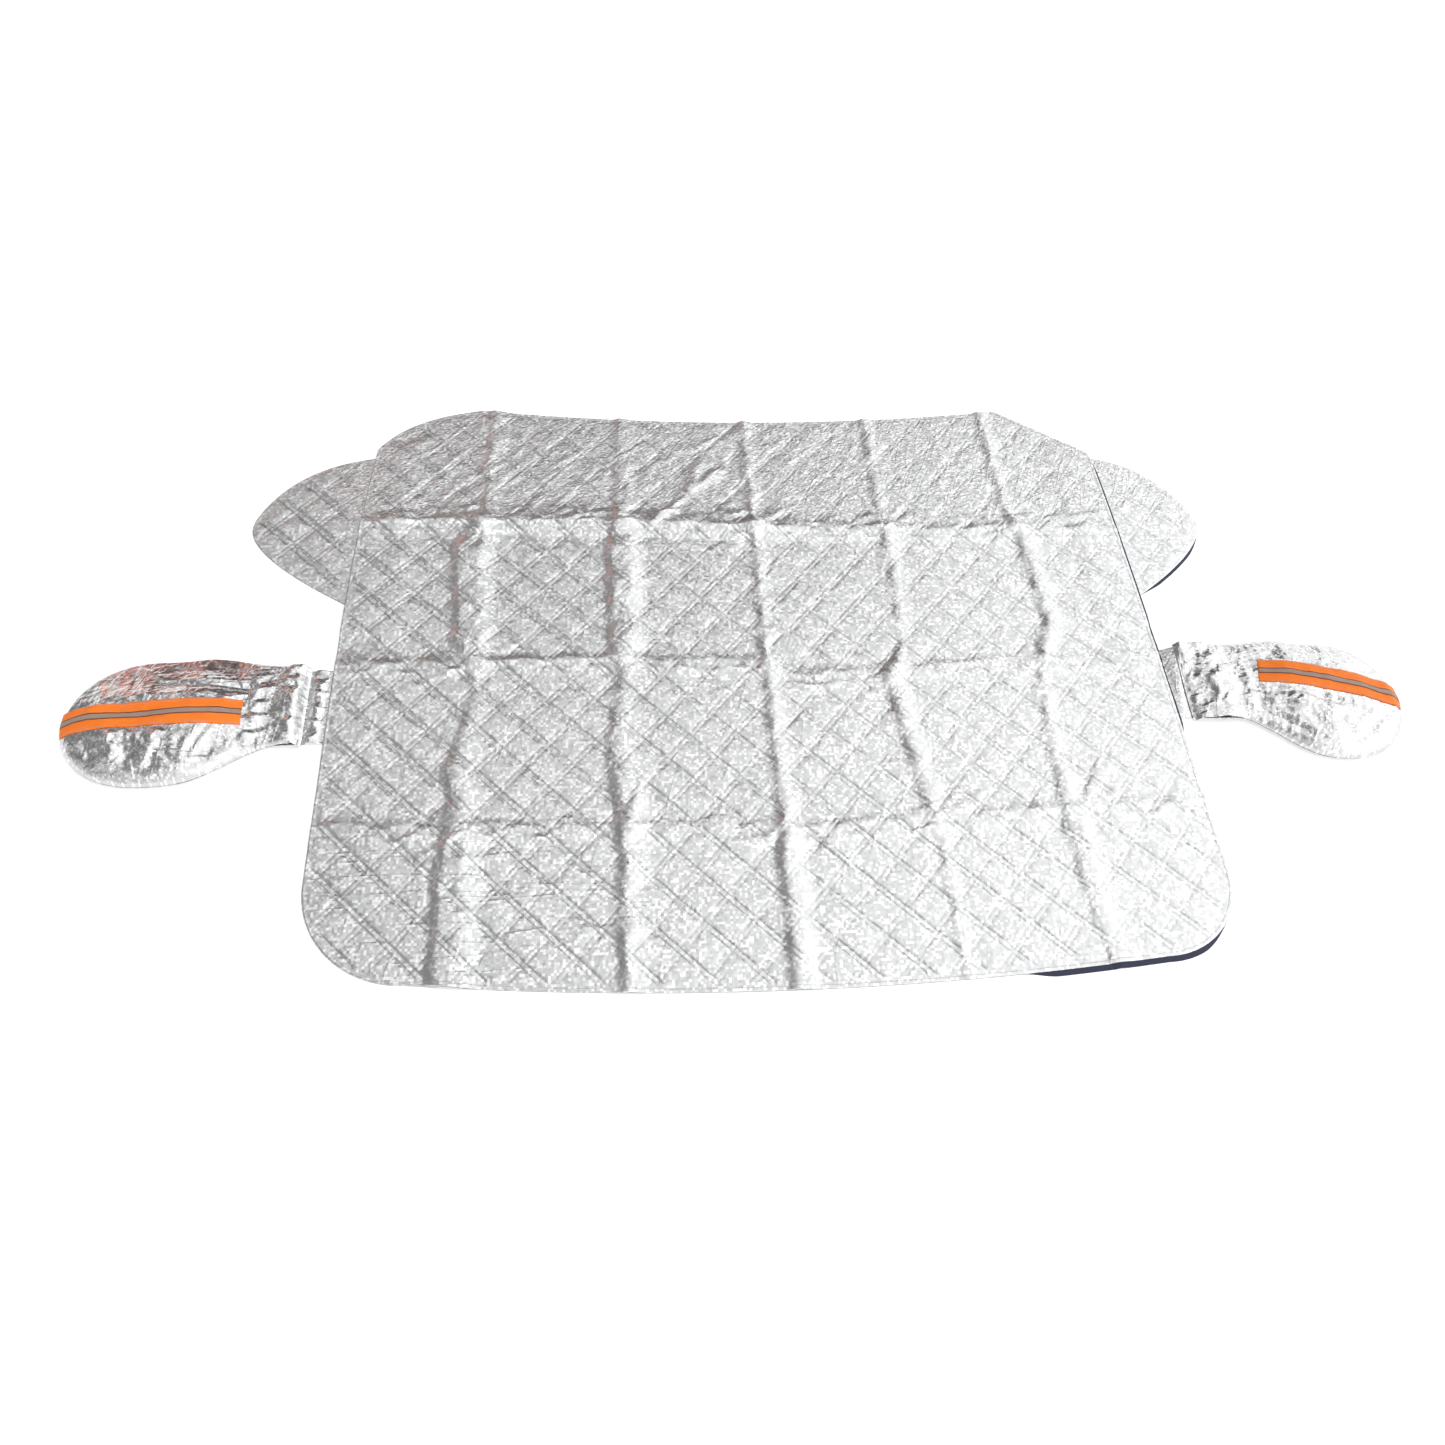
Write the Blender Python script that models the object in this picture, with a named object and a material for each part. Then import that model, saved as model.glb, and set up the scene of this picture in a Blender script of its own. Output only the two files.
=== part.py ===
"""Windshield frost cover, spread out flat with its door flaps and mirror pockets.

A quilted foil panel with a dark lining is sewn over two quilted door flaps and
two foil straps. Each strap carries a foil pocket with an elastic mouth and an
orange tape with a reflective stripe.

Lengths are in metres. The working zero is where the panel's middle fold lines
cross, on the floor, with +X to the cover's right and +Y to its roof edge. The
cover_frame empty moves the whole cover so that zero is the middle of its box.
"""
import math

import bmesh
import bpy
from mathutils import Vector, noise
from mathutils.geometry import delaunay_2d_cdt

# Cloth layers
LINING_THICKNESS = 0.0007
QUILT_LINE_THICKNESS = 0.0014
QUILT_PUFF = 0.0026
FOIL_THICKNESS = 0.0010
STRAP_THICKNESS = 0.0012
TAPE_THICKNESS = 0.0005
STRIPE_THICKNESS = 0.0003
ELASTIC_THICKNESS = 0.0010
SEAM_GAP = 0.0003

# Quilting: two crossing families of straight lines, each shifted from the working zero
QUILT_RISING_ANGLE = 49.0
QUILT_RISING_PITCH = 0.0565
QUILT_RISING_SHIFT = 0.010
QUILT_FALLING_ANGLE = 135.0
QUILT_FALLING_PITCH = 0.0575
QUILT_FALLING_SHIFT = 0.034

# Main panel, from its middle folds outward
LEFT_REACH = 0.738
RIGHT_REACH = 0.714
PANEL_TOP = 0.633
PANEL_BOTTOM = 0.592
TOP_EDGE_SAG = 0.033
BOTTOM_EDGE_BOW = 0.030
LEFT_LEAN = 0.024
RIGHT_LEAN = 0.010
LEFT_CORNER_RADIUS = 0.165
RIGHT_CORNER_RADIUS = 0.140
LEFT_SHOULDER_WIDTH = 0.194
RIGHT_SHOULDER_WIDTH = 0.174
LEFT_SHOULDER_DROP = 0.112
RIGHT_SHOULDER_DROP = 0.124
LEFT_SHOULDER_ROUNDNESS = 0.55
RIGHT_SHOULDER_ROUNDNESS = 0.05
LINING_SHOW = 0.009
LINING_SHOW_START = 0.340
LINING_SHOW_END_MARGIN = 0.020
LINING_SHOW_RAMP = 0.060

# Fold lines left by the packed cover
FOLD_SPACING = 0.251
FOLD_COUNT = 5
FOLD_HEIGHT = 0.008
FOLD_HALF_WIDTH = 0.045
CROSS_FOLD_SPACING = 0.318
CROSS_FOLD_COUNT = 3
CROSS_FOLD_HEIGHT = 0.0035
CROSS_FOLD_HALF_WIDTH = 0.030
CROSS_FOLD_TILT = -0.012
WRINKLE_HEIGHT = 0.003
WRINKLE_HALF_WIDTH = 0.014
WRINKLE_START = 0.018
WRINKLE_LENGTH = 0.100
WRINKLE_LENGTH_STEP = 0.030
WRINKLE_TURN = 35
WRINKLE_TURN_ACROSS = 62
WRINKLE_TURN_UP = 97

# Door flaps, sewn under the panel's sides
LEFT_FLAP_REACH = 0.211
RIGHT_FLAP_REACH = 0.178
FLAP_TOP = 0.505
FLAP_TIP = 0.322
FLAP_BOTTOM = 0.100
FLAP_TOP_PULL = 0.055
FLAP_TOP_DROOP = 0.008
FLAP_TIP_PULL = 0.085
FLAP_TIP_LEAN = 0.012
FLAP_TUCK = 0.050
TUCK_RAMP = 0.035
TUCK_MARGIN = 0.014

# Foil straps between the panel and the pockets
STRAP_WIDTH = 0.146
STRAP_TUCK = 0.040
STRAP_LAP = 0.026
STRAP_WAVE = 0.005
STRAP_PLEATS = 5
STRAP_MARGIN = 0.006
STRAP_RAMP = 0.030
LEFT_STRAP_LENGTH = 0.052
RIGHT_STRAP_LENGTH = 0.088

# Mirror pockets
LEFT_POCKET_LENGTH = 0.361
RIGHT_POCKET_LENGTH = 0.314
POCKET_WIDTH = 0.240
POCKET_HEIGHT = 0.040
POCKET_SHOULDER = 0.085
POCKET_RIM_HEIGHT = 0.007
POCKET_RIM_RISE = 0.045
POCKET_SWELL_SHARE = 0.42
POCKET_TIP_SHARE = 0.60
POCKET_TIP_SQUARENESS = 2.3
CRUMPLE_HEIGHT = 0.010
CRUMPLE_SIZE = 0.048
CRUMPLE_MARGIN = 0.040
MOUTH_WIDTH = 0.156
MOUTH_HEIGHT = 0.020
MOUTH_HEM = 0.014
LEFT_MOUTH_Y = -0.075
RIGHT_MOUTH_Y = -0.060
LEFT_POCKET_DROP = 0.030
RIGHT_POCKET_DROP = 0.045
PLEAT_COUNT = 7
PLEAT_DEPTH = 0.0030
PLEAT_LENGTH = 0.100
PLEAT_SPREAD = 0.9
PLEAT_RINGS = (0.0, 0.26, 0.55)
ELASTIC_WIDTH = 0.008

# Orange tape and its stripe, on top of each pocket
TAPE_WIDTH = 0.048
STRIPE_WIDTH = 0.012
LEFT_TAPE_START = 0.076
RIGHT_TAPE_START = 0.068
LEFT_TAPE_OFFSET = 0.005
RIGHT_TAPE_OFFSET = 0.0525
LEFT_TAPE_SLOPE = -0.057
RIGHT_TAPE_SLOPE = -0.26

# Spacing of the mesh's own points
EDGE_STEP = 0.055
FLAP_EDGE_STEP = 0.033
POCKET_STEP = 0.020
SHORTEST_EDGE = 0.010
SLIVER_HEIGHT = 0.000002
CLEAR = 0.010

FACE_TOP_Z = LINING_THICKNESS + SEAM_GAP + QUILT_LINE_THICKNESS
QUILT_FAMILIES = (
    (QUILT_RISING_ANGLE, QUILT_RISING_PITCH, QUILT_RISING_SHIFT),
    (QUILT_FALLING_ANGLE, QUILT_FALLING_PITCH, QUILT_FALLING_SHIFT),
)

SIDES = {
    "left": {
        "turn": -1, "reach": LEFT_REACH, "lean": LEFT_LEAN, "corner": LEFT_CORNER_RADIUS,
        "shoulder_width": LEFT_SHOULDER_WIDTH, "shoulder_drop": LEFT_SHOULDER_DROP,
        "roundness": LEFT_SHOULDER_ROUNDNESS, "flap_reach": LEFT_FLAP_REACH,
        "strap_length": LEFT_STRAP_LENGTH, "pocket_length": LEFT_POCKET_LENGTH, "mouth_y": LEFT_MOUTH_Y,
        "pocket_drop": LEFT_POCKET_DROP, "tape_start": LEFT_TAPE_START,
        "tape_offset": LEFT_TAPE_OFFSET, "tape_slope": LEFT_TAPE_SLOPE,
    },
    "right": {
        "turn": 1, "reach": RIGHT_REACH, "lean": RIGHT_LEAN, "corner": RIGHT_CORNER_RADIUS,
        "shoulder_width": RIGHT_SHOULDER_WIDTH, "shoulder_drop": RIGHT_SHOULDER_DROP,
        "roundness": RIGHT_SHOULDER_ROUNDNESS, "flap_reach": RIGHT_FLAP_REACH,
        "strap_length": RIGHT_STRAP_LENGTH, "pocket_length": RIGHT_POCKET_LENGTH, "mouth_y": RIGHT_MOUTH_Y,
        "pocket_drop": RIGHT_POCKET_DROP, "tape_start": RIGHT_TAPE_START,
        "tape_offset": RIGHT_TAPE_OFFSET, "tape_slope": RIGHT_TAPE_SLOPE,
    },
}


# Plane geometry

def smooth(value):
    """Ease from 0 to 1."""
    value = min(1.0, max(0.0, value))
    return value * value * (3 - 2 * value)


def resample(curve, step):
    """Points about one step apart along an open curve, with both its ends."""
    lengths = [0.0]
    for start, end in zip(curve, curve[1:]):
        lengths.append(lengths[-1] + (end - start).length)
    count = max(1, round(lengths[-1] / step))
    points = []
    span = 0
    for index in range(count + 1):
        target = lengths[-1] * index / count
        while span < len(curve) - 2 and lengths[span + 1] < target:
            span += 1
        share = (target - lengths[span]) / max(1e-9, lengths[span + 1] - lengths[span])
        points.append(curve[span].lerp(curve[span + 1], share))
    return points


def rounded(start, pull, end, count=12):
    """Quadratic curve from start to end, drawn towards the pull point."""
    points = []
    for index in range(count + 1):
        share = index / count
        points.append(start.lerp(pull, share).lerp(pull.lerp(end, share), share))
    return points


def is_inside(loop, point):
    """Whether a point lies inside a closed loop."""
    inside = False
    for start, end in zip(loop, loop[1:] + loop[:1]):
        if (start.y > point.y) != (end.y > point.y):
            share = (point.y - start.y) / (end.y - start.y)
            if point.x < start.x + share * (end.x - start.x):
                inside = not inside
    return inside


def distance_to(path, point):
    """Shortest distance from a point to an open path."""
    nearest = math.inf
    for start, end in zip(path, path[1:]):
        along = end - start
        share = (point - start).dot(along) / max(1e-12, along.length_squared)
        share = min(1.0, max(0.0, share))
        nearest = min(nearest, (start.lerp(end, share) - point).length)
    return nearest


def with_point(loop, point, near):
    """The loop with a point set into it, in place of a corner that lies near the point."""
    sides = list(zip(loop, loop[1:] + loop[:1]))
    index = min(range(len(loop)), key=lambda side: distance_to(sides[side], point))
    for corner in (index, (index + 1) % len(loop)):
        if (loop[corner] - point).length < near:
            return loop[:corner] + [point] + loop[corner + 1:]
    return loop[:index + 1] + [point] + loop[index + 1:]


def clipped(line, loop, margin):
    """The part of a straight line inside a loop, ended short of the loop by a margin."""
    start, end = line
    along = end - start
    shares = []
    for first, second in zip(loop, loop[1:] + loop[:1]):
        side = second - first
        cross = along.x * side.y - along.y * side.x
        if abs(cross) < 1e-12:
            continue
        offset = first - start
        share = (offset.x * side.y - offset.y * side.x) / cross
        on_side = (offset.x * along.y - offset.y * along.x) / cross
        if 0 <= on_side <= 1 and 0 <= share <= 1:
            shares.append(share)
    if is_inside(loop, start):
        shares.append(0.0)
    if is_inside(loop, end):
        shares.append(1.0)
    if len(shares) < 2:
        return None
    trim = margin / along.length
    low, high = min(shares) + trim, max(shares) - trim
    if high - low < trim:
        return None
    return (start.lerp(end, low), start.lerp(end, high))


# Nets: flat triangle meshes that the cloth layers are lifted from

def net(loop, lines=(), spots=(), shortest=0.0):
    """Triangles inside a loop that keep the given lines as edges and spots as corners."""
    points = list(loop)
    edges = [(index, (index + 1) % len(loop)) for index in range(len(loop))]
    for line in lines:
        edges += [(len(points) + index, len(points) + index + 1) for index in range(len(line) - 1)]
        points += line
    points += spots
    corners, _, triangles, _, _, _ = delaunay_2d_cdt(points, edges, [], 0, 1e-6)
    faces = []
    for triangle in triangles:
        middle = sum((corners[index] for index in triangle), Vector((0.0, 0.0))) / 3
        longest = max((corners[triangle[k]] - corners[triangle[k - 1]]).length for k in range(3))
        is_sliver = abs(double_area(corners, triangle)) < longest * SLIVER_HEIGHT
        if is_inside(loop, middle) and not is_sliver:
            faces.append(triangle if double_area(corners, triangle) > 0 else triangle[::-1])
    if shortest:
        faces = without_short_edges(corners, faces, shortest)
    used = sorted({index for face in faces for index in face})
    number = {index: place for place, index in enumerate(used)}
    return [corners[index] for index in used], [[number[index] for index in face] for face in faces]


def double_area(places, face):
    """Twice a triangle's area, positive where it runs anticlockwise."""
    first, second, third = (places[index] for index in face)
    return (second - first).cross(third - first)


def without_short_edges(places, faces, shortest):
    """The triangles with each short edge closed up, unless that would turn one over."""
    faces = [list(face) for face in faces]
    while True:
        around = {}
        for face in faces:
            for index in face:
                around.setdefault(index, []).append(face)
        rim_edges = set(rim_of(faces))
        rim = {index for edge in rim_edges for index in edge}
        locked = set()
        for face in faces:
            for first, second in zip(face, face[1:] + face[:1]):
                if (places[first] - places[second]).length > shortest or {first, second} & locked:
                    continue
                on_rim = (first, second) in rim_edges or (second, first) in rim_edges
                if first in rim and second in rim and not on_rim:
                    continue
                near_first, near_second = ({k for other in around[end] for k in other} for end in (first, second))
                shared = [other for other in around[first] if second in other]
                if len((near_first & near_second) - {first, second}) != len(shared):
                    continue
                keep, drop = (second, first) if second in rim and first not in rim else (first, second)
                moved = [other for other in around[drop] if keep not in other]
                turned = [[keep if index == drop else index for index in other] for other in moved]
                if any(double_area(places, other) < 1e-7 for other in turned):
                    continue
                for other in around[drop]:
                    locked.update(other)
                    if keep in other:
                        other.clear()
                    else:
                        other[other.index(drop)] = keep
                break
        kept = [face for face in faces if face]
        if len(kept) == len(faces):
            return kept
        faces = kept


def rim_of(faces):
    """Directed outer edges of a set of triangles, with the cloth on their left."""
    edges = {(face[k], face[(k + 1) % 3]) for face in faces for k in range(3)}
    return [edge for edge in edges if edge[::-1] not in edges]


def loop_of(places, faces):
    """The outer loop of a net as a list of points, in order."""
    following = dict(rim_of(faces))
    start = min(following)
    order = [start]
    while following[order[-1]] != start:
        order.append(following[order[-1]])
    return [places[index] for index in order]


def quilt_share(point):
    """0 on a quilting line and 1 in the middle of a diamond."""
    share = 1.0
    for degrees, pitch, shift in QUILT_FAMILIES:
        angle = math.radians(degrees)
        across = point.y * math.cos(angle) - point.x * math.sin(angle)
        share *= abs(math.sin(math.pi * (across - shift) / pitch))
    return share


def quilting(loop):
    """Quilting lines that cross a loop, and the middles of the diamonds between them."""
    size = max(max(abs(point.x), abs(point.y)) for point in loop) * 1.5
    normals = []
    lines = []
    reach = math.ceil(size / min(QUILT_RISING_PITCH, QUILT_FALLING_PITCH)) + 1
    for degrees, pitch, shift in QUILT_FAMILIES:
        angle = math.radians(degrees)
        along = Vector((math.cos(angle), math.sin(angle)))
        normal = Vector((-math.sin(angle), math.cos(angle)))
        normals.append(normal)
        for index in range(-reach, reach + 1):
            middle = normal * (shift + pitch * index)
            line = clipped((middle - along * size * 2, middle + along * size * 2), loop, -CLEAR)
            if line:
                lines.append(list(line))
    rising, falling = normals
    scale = rising.x * falling.y - rising.y * falling.x
    spots = []
    for first in range(-reach, reach):
        for second in range(-reach, reach):
            a = (first + 0.5) * QUILT_RISING_PITCH + QUILT_RISING_SHIFT
            b = (second + 0.5) * QUILT_FALLING_PITCH + QUILT_FALLING_SHIFT
            spot = Vector((a * falling.y - b * rising.y, b * rising.x - a * falling.x)) / scale
            if is_inside(loop, spot) and distance_to(loop + loop[:1], spot) > CLEAR:
                spots.append(spot)
    return lines, spots


# Solids

FRAME = None


def make_object(name, mesh, finish):
    """Turns a finished bmesh into a smooth-shaded object of the cover."""
    data = bpy.data.meshes.new(name)
    mesh.to_mesh(data)
    mesh.free()
    data.shade_smooth()
    data.set_sharp_from_angle(angle=math.radians(28))
    data.materials.append(finish)
    item = bpy.data.objects.new(name, data)
    bpy.context.scene.collection.objects.link(item)
    item.parent = FRAME
    return item


def cloth(name, upper_net, upper, lower_net, lower, finish):
    """A closed layer of cloth between two nets that share one outer loop."""
    mesh = bmesh.new()
    on_rim = {}
    for (places, faces), height, side in ((upper_net, upper, 0), (lower_net, lower, 1)):
        verts = [mesh.verts.new((place.x, place.y, height(place))) for place in places]
        for face in faces:
            mesh.faces.new([verts[index] for index in (face if side == 0 else face[::-1])])
        for first, second in rim_of(faces):
            key = (round(places[first].x, 6), round(places[first].y, 6))
            on_rim.setdefault(key, [None, None])[side] = verts[first]
    places, faces = upper_net
    for edge in rim_of(faces):
        first, second = (on_rim[(round(places[k].x, 6), round(places[k].y, 6))] for k in edge)
        mesh.faces.new((first[0], first[1], second[1], second[0]))
    return make_object(name, mesh, finish)


def material(name, colour, roughness, metallic=0.0):
    """A Principled finish."""
    made = bpy.data.materials.new(name)
    made.use_nodes = True
    shader = made.node_tree.nodes["Principled BSDF"]
    shader.inputs["Base Color"].default_value = (*colour, 1.0)
    shader.inputs["Roughness"].default_value = roughness
    shader.inputs["Metallic"].default_value = metallic
    return made


# Main panel

def half_edge(side):
    """One half of the panel's edge, from the middle of its top to the middle of its bottom."""
    reach = side["reach"]
    corner = side["corner"]
    side_top = Vector((reach - side["lean"], PANEL_TOP - side["shoulder_drop"]))
    shoulder = Vector((side_top.x - side["shoulder_width"], PANEL_TOP))
    chord = (side_top + shoulder) / 2
    pull = chord.lerp(Vector((side_top.x, shoulder.y)), side["roundness"])
    low_y = BOTTOM_EDGE_BOW - PANEL_BOTTOM
    points = []
    for index in range(12):
        share = index / 12
        points.append(Vector((shoulder.x * share, PANEL_TOP - TOP_EDGE_SAG * (1 - share * share))))
    points += rounded(shoulder, pull, side_top)
    for index in range(1, 12):
        share = index / 12
        height = low_y + corner + (side_top.y - low_y - corner) * (1 - share)
        points.append(Vector((reach - side["lean"] * (1 - share) ** 4, height)))
    for index in range(13):
        angle = math.radians(90) * index / 12
        x = reach - corner + corner * math.cos(angle)
        points.append(Vector((x, low_y + corner - corner * math.sin(angle))))
    for index in range(1, 13):
        share = 1 - index / 12
        points.append(Vector(((reach - corner) * share, low_y - BOTTOM_EDGE_BOW * (1 - share * share))))
    return [Vector((side["turn"] * point.x, point.y)) for point in points]


def panel_loop():
    """The panel's closed edge, anticlockwise."""
    right = resample(half_edge(SIDES["right"]), EDGE_STEP)
    left = resample(half_edge(SIDES["left"]), EDGE_STEP)
    return left[:-1] + right[::-1][:-1]


def fold_lines():
    """Fold lines as (start, end, height, half width): down the panel, then across it."""
    folds = []
    for index in range(FOLD_COUNT):
        x = (index - (FOLD_COUNT - 1) / 2) * FOLD_SPACING
        ends = (Vector((x, PANEL_TOP * 1.2)), Vector((x, -PANEL_BOTTOM * 1.2)))
        folds.append((*ends, FOLD_HEIGHT, FOLD_HALF_WIDTH))
    for index in range(CROSS_FOLD_COUNT):
        y = (index - (CROSS_FOLD_COUNT - 1) / 2) * CROSS_FOLD_SPACING
        ends = (Vector((-LEFT_REACH * 1.2, y - CROSS_FOLD_TILT)), Vector((RIGHT_REACH * 1.2, y + CROSS_FOLD_TILT)))
        folds.append((*ends, CROSS_FOLD_HEIGHT, CROSS_FOLD_HALF_WIDTH))
    return folds


def wrinkles():
    """Short creases that fan out beside the crossings of the folds."""
    lines = []
    for column in (-2, -1, 0, 1, 2):
        for row in (-1, 0, 1):
            crossing = Vector((column * FOLD_SPACING, row * CROSS_FOLD_SPACING))
            turn = math.radians(WRINKLE_TURN + WRINKLE_TURN_ACROSS * column + WRINKLE_TURN_UP * row)
            away = Vector((math.cos(turn), math.sin(turn)))
            length = WRINKLE_LENGTH + WRINKLE_LENGTH_STEP * ((column + 2 * row) % 3)
            lines.append([crossing + away * WRINKLE_START, crossing + away * length])
    return lines


def tucks():
    """Boxes where something passes under the panel: side, lowest y, highest y, inner x, height."""
    found = []
    for side in SIDES.values():
        flap_height = FACE_TOP_Z + SEAM_GAP
        flap_inner = side["reach"] - side["lean"] - FLAP_TUCK
        found.append((side["turn"], FLAP_BOTTOM, FLAP_TOP, flap_inner, flap_height))
        strap_inner = side["reach"] - STRAP_TUCK
        strap_low = side["mouth_y"] - STRAP_WIDTH / 2
        strap_high = side["mouth_y"] + STRAP_WIDTH / 2
        found.append((side["turn"], strap_low, strap_high, strap_inner, STRAP_THICKNESS + SEAM_GAP))
    return found


def underside(point):
    """Height of the panel's underside: its folds, and what passes below its sides."""
    height = 0.0
    for start, end, fold_height, half_width in FOLDS:
        along = (end - start).normalized()
        offset = point - start
        away = abs(along.x * offset.y - along.y * offset.x)
        height += fold_height * max(0.0, 1 - away / half_width)
    lift = 0.0
    for turn, low, high, inner, tuck_height in TUCKS:
        across = 1 + (turn * point.x - inner + TUCK_MARGIN) / TUCK_RAMP
        below = 1 + (point.y - low + TUCK_MARGIN) / TUCK_RAMP
        above = 1 + (high + TUCK_MARGIN - point.y) / TUCK_RAMP
        lift = max(lift, tuck_height * min(1.0, max(0.0, min(across, below, above))))
    return height + lift


def wrinkle_rise(point):
    """Extra height of the foil face on the short creases."""
    rise = 0.0
    for line in WRINKLES:
        rise = max(rise, 1 - distance_to(line, point) / WRINKLE_HALF_WIDTH)
    return WRINKLE_HEIGHT * rise


def break_lines(loop):
    """Straight lines where the underside changes slope, kept clear of the panel's edge."""
    lines = []
    for start, end, _, half_width in FOLDS:
        along = (end - start).normalized()
        aside = Vector((-along.y, along.x)) * half_width
        for shift in (-1, 0, 1):
            lines.append(clipped((start + aside * shift, end + aside * shift), loop, CLEAR))
    for turn, low, high, inner, _ in TUCKS:
        for spread in (TUCK_MARGIN, TUCK_MARGIN + TUCK_RAMP):
            x = turn * (inner - spread)
            outer = turn * (inner + 1.0)
            corners = [(outer, low - spread), (x, low - spread), (x, high + spread), (outer, high + spread)]
            corners = [Vector(corner) for corner in corners]
            for start, end in zip(corners, corners[1:]):
                lines.append(clipped((start, end), loop, CLEAR))
    return [list(line) for line in lines if line]


def make_panel():
    """The quilted foil face with its wadding, and the dark lining below it."""
    outline = panel_loop()
    lines, spots = quilting(outline)
    lines += [[start, end] for start, end, _, _ in FOLDS]
    lines += WRINKLES
    face_net = net(outline, lines, spots, SHORTEST_EDGE)
    loop = loop_of(*face_net)
    back_net = net(loop, break_lines(loop))
    rim = {(round(point.x, 6), round(point.y, 6)) for point in loop}

    def face_top(point):
        height = underside(point) + FACE_TOP_Z
        if (round(point.x, 6), round(point.y, 6)) in rim:
            return height
        return height + QUILT_PUFF * quilt_share(point) + wrinkle_rise(point)

    def face_bottom(point):
        return underside(point) + LINING_THICKNESS + SEAM_GAP

    cloth("main_panel", face_net, face_top, back_net, face_bottom, FOIL)

    lining_net, shown_at = lining_beyond(back_net)

    def lining_bottom(point):
        return underside(shown_at.get((round(point.x, 6), round(point.y, 6)), point))

    def lining_top(point):
        return lining_bottom(point) + LINING_THICKNESS

    cloth("main_lining", lining_net, lining_top, lining_net, lining_bottom, LINING)


def lining_beyond(back_net):
    """The panel's net with the strip of lining that shows past its lower right edge."""
    places = list(back_net[0])
    faces = list(back_net[1])
    edges = rim_of(faces)
    outer = {}
    shown_at = {}
    for index, _ in edges:
        point = places[index]
        along = smooth((point.x - LINING_SHOW_START) / LINING_SHOW_RAMP)
        along *= smooth((RIGHT_REACH - LINING_SHOW_END_MARGIN - point.x) / LINING_SHOW_RAMP)
        if point.y > 0 or LINING_SHOW * along < SEAM_GAP:
            continue
        shown = point - Vector((0.0, LINING_SHOW * along))
        outer[index] = len(places)
        places.append(shown)
        shown_at[(round(shown.x, 6), round(shown.y, 6))] = point
    for first, second in edges:
        if first in outer:
            faces.append([second, first, outer[first]])
            if second in outer:
                faces.append([second, outer[first], outer[second]])
        elif second in outer:
            faces.append([second, first, outer[second]])
    return (places, faces), shown_at


# Door flaps

def flap_loop(side):
    """A rounded triangle whose straight root lies under the panel's side."""
    edge = side["reach"] - side["lean"]
    root = edge - FLAP_TUCK
    tip = edge + side["flap_reach"]
    top = Vector((root, FLAP_TOP))
    tip_point = Vector((tip, FLAP_TIP))
    top_pull = Vector((tip - FLAP_TOP_PULL, FLAP_TOP - FLAP_TOP_DROOP))
    low_pull = Vector((tip - FLAP_TIP_LEAN, FLAP_TIP - FLAP_TIP_PULL))
    curve = rounded(top, top_pull, tip_point)
    curve += rounded(tip_point, low_pull, Vector((root, FLAP_BOTTOM)))[1:]
    points = resample(curve, FLAP_EDGE_STEP)
    points += resample([Vector((root, FLAP_BOTTOM)), top], EDGE_STEP)[1:-1]
    points = [Vector((side["turn"] * point.x, point.y)) for point in points]
    return points if side["turn"] < 0 else points[::-1]


def make_flap(name, side):
    """A quilted door flap with its lining, flat where the panel covers it."""
    outline = flap_loop(side)
    lines, spots = quilting(outline)
    seam_x = side["turn"] * side["reach"]
    lines.append(list(clipped((Vector((seam_x, FLAP_TOP)), Vector((seam_x, -FLAP_TOP))), outline, -CLEAR)))
    face_net = net(outline, lines, spots, SHORTEST_EDGE)
    loop = loop_of(*face_net)
    back_net = net(loop)
    rim = {(round(point.x, 6), round(point.y, 6)) for point in loop}

    def face_top(point):
        outside = smooth((side["turn"] * point.x - side["reach"] - SHORTEST_EDGE) / CLEAR)
        on_rim = (round(point.x, 6), round(point.y, 6)) in rim
        return FACE_TOP_Z + (0.0 if on_rim else QUILT_PUFF * quilt_share(point) * outside)

    cloth(name + "_door_flap", face_net, face_top, back_net,
          lambda point: LINING_THICKNESS + SEAM_GAP, FOIL)
    cloth(name + "_flap_lining", back_net, lambda point: LINING_THICKNESS, back_net,
          lambda point: 0.0, LINING)


# Straps

def make_strap(name, side):
    """The foil strap that joins a pocket to the panel, pleated where it shows."""
    inner = side["reach"] - STRAP_TUCK
    edge = side["reach"]
    mouth = edge + side["strap_length"]
    outer = mouth + STRAP_LAP
    columns = [inner, edge + STRAP_MARGIN, (edge + mouth) / 2, mouth - STRAP_MARGIN, outer]
    rows = STRAP_PLEATS * 2
    low = side["mouth_y"] - STRAP_WIDTH / 2
    places = []
    for x in columns:
        for row in range(rows + 1):
            places.append(Vector((side["turn"] * x, low + STRAP_WIDTH * row / rows)))
    faces = []
    for column in range(len(columns) - 1):
        for row in range(rows):
            a = column * (rows + 1) + row
            b = a + rows + 1
            square = (a, b, b + 1, a + 1) if side["turn"] > 0 else (a, a + 1, b + 1, b)
            faces += [[square[0], square[1], square[2]], [square[0], square[2], square[3]]]

    def bottom(point):
        along = side["turn"] * point.x
        shown = 1 - abs(along - (edge + mouth) / 2) / ((mouth - edge) / 2 - STRAP_MARGIN)
        row = round((point.y - low) / STRAP_WIDTH * rows)
        return STRAP_WAVE * (row % 2) * smooth(shown * 4)

    strap_net = (places, faces)
    cloth(name + "_neck_strap", strap_net, lambda point: bottom(point) + STRAP_THICKNESS,
          strap_net, bottom, POCKET_FOIL)


# Mirror pockets

def pocket_middle(side, share):
    """Y of a pocket's middle line, a share of the way from its mouth to its tip."""
    return side["mouth_y"] - side["pocket_drop"] * smooth(share / POCKET_TIP_SHARE)


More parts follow.
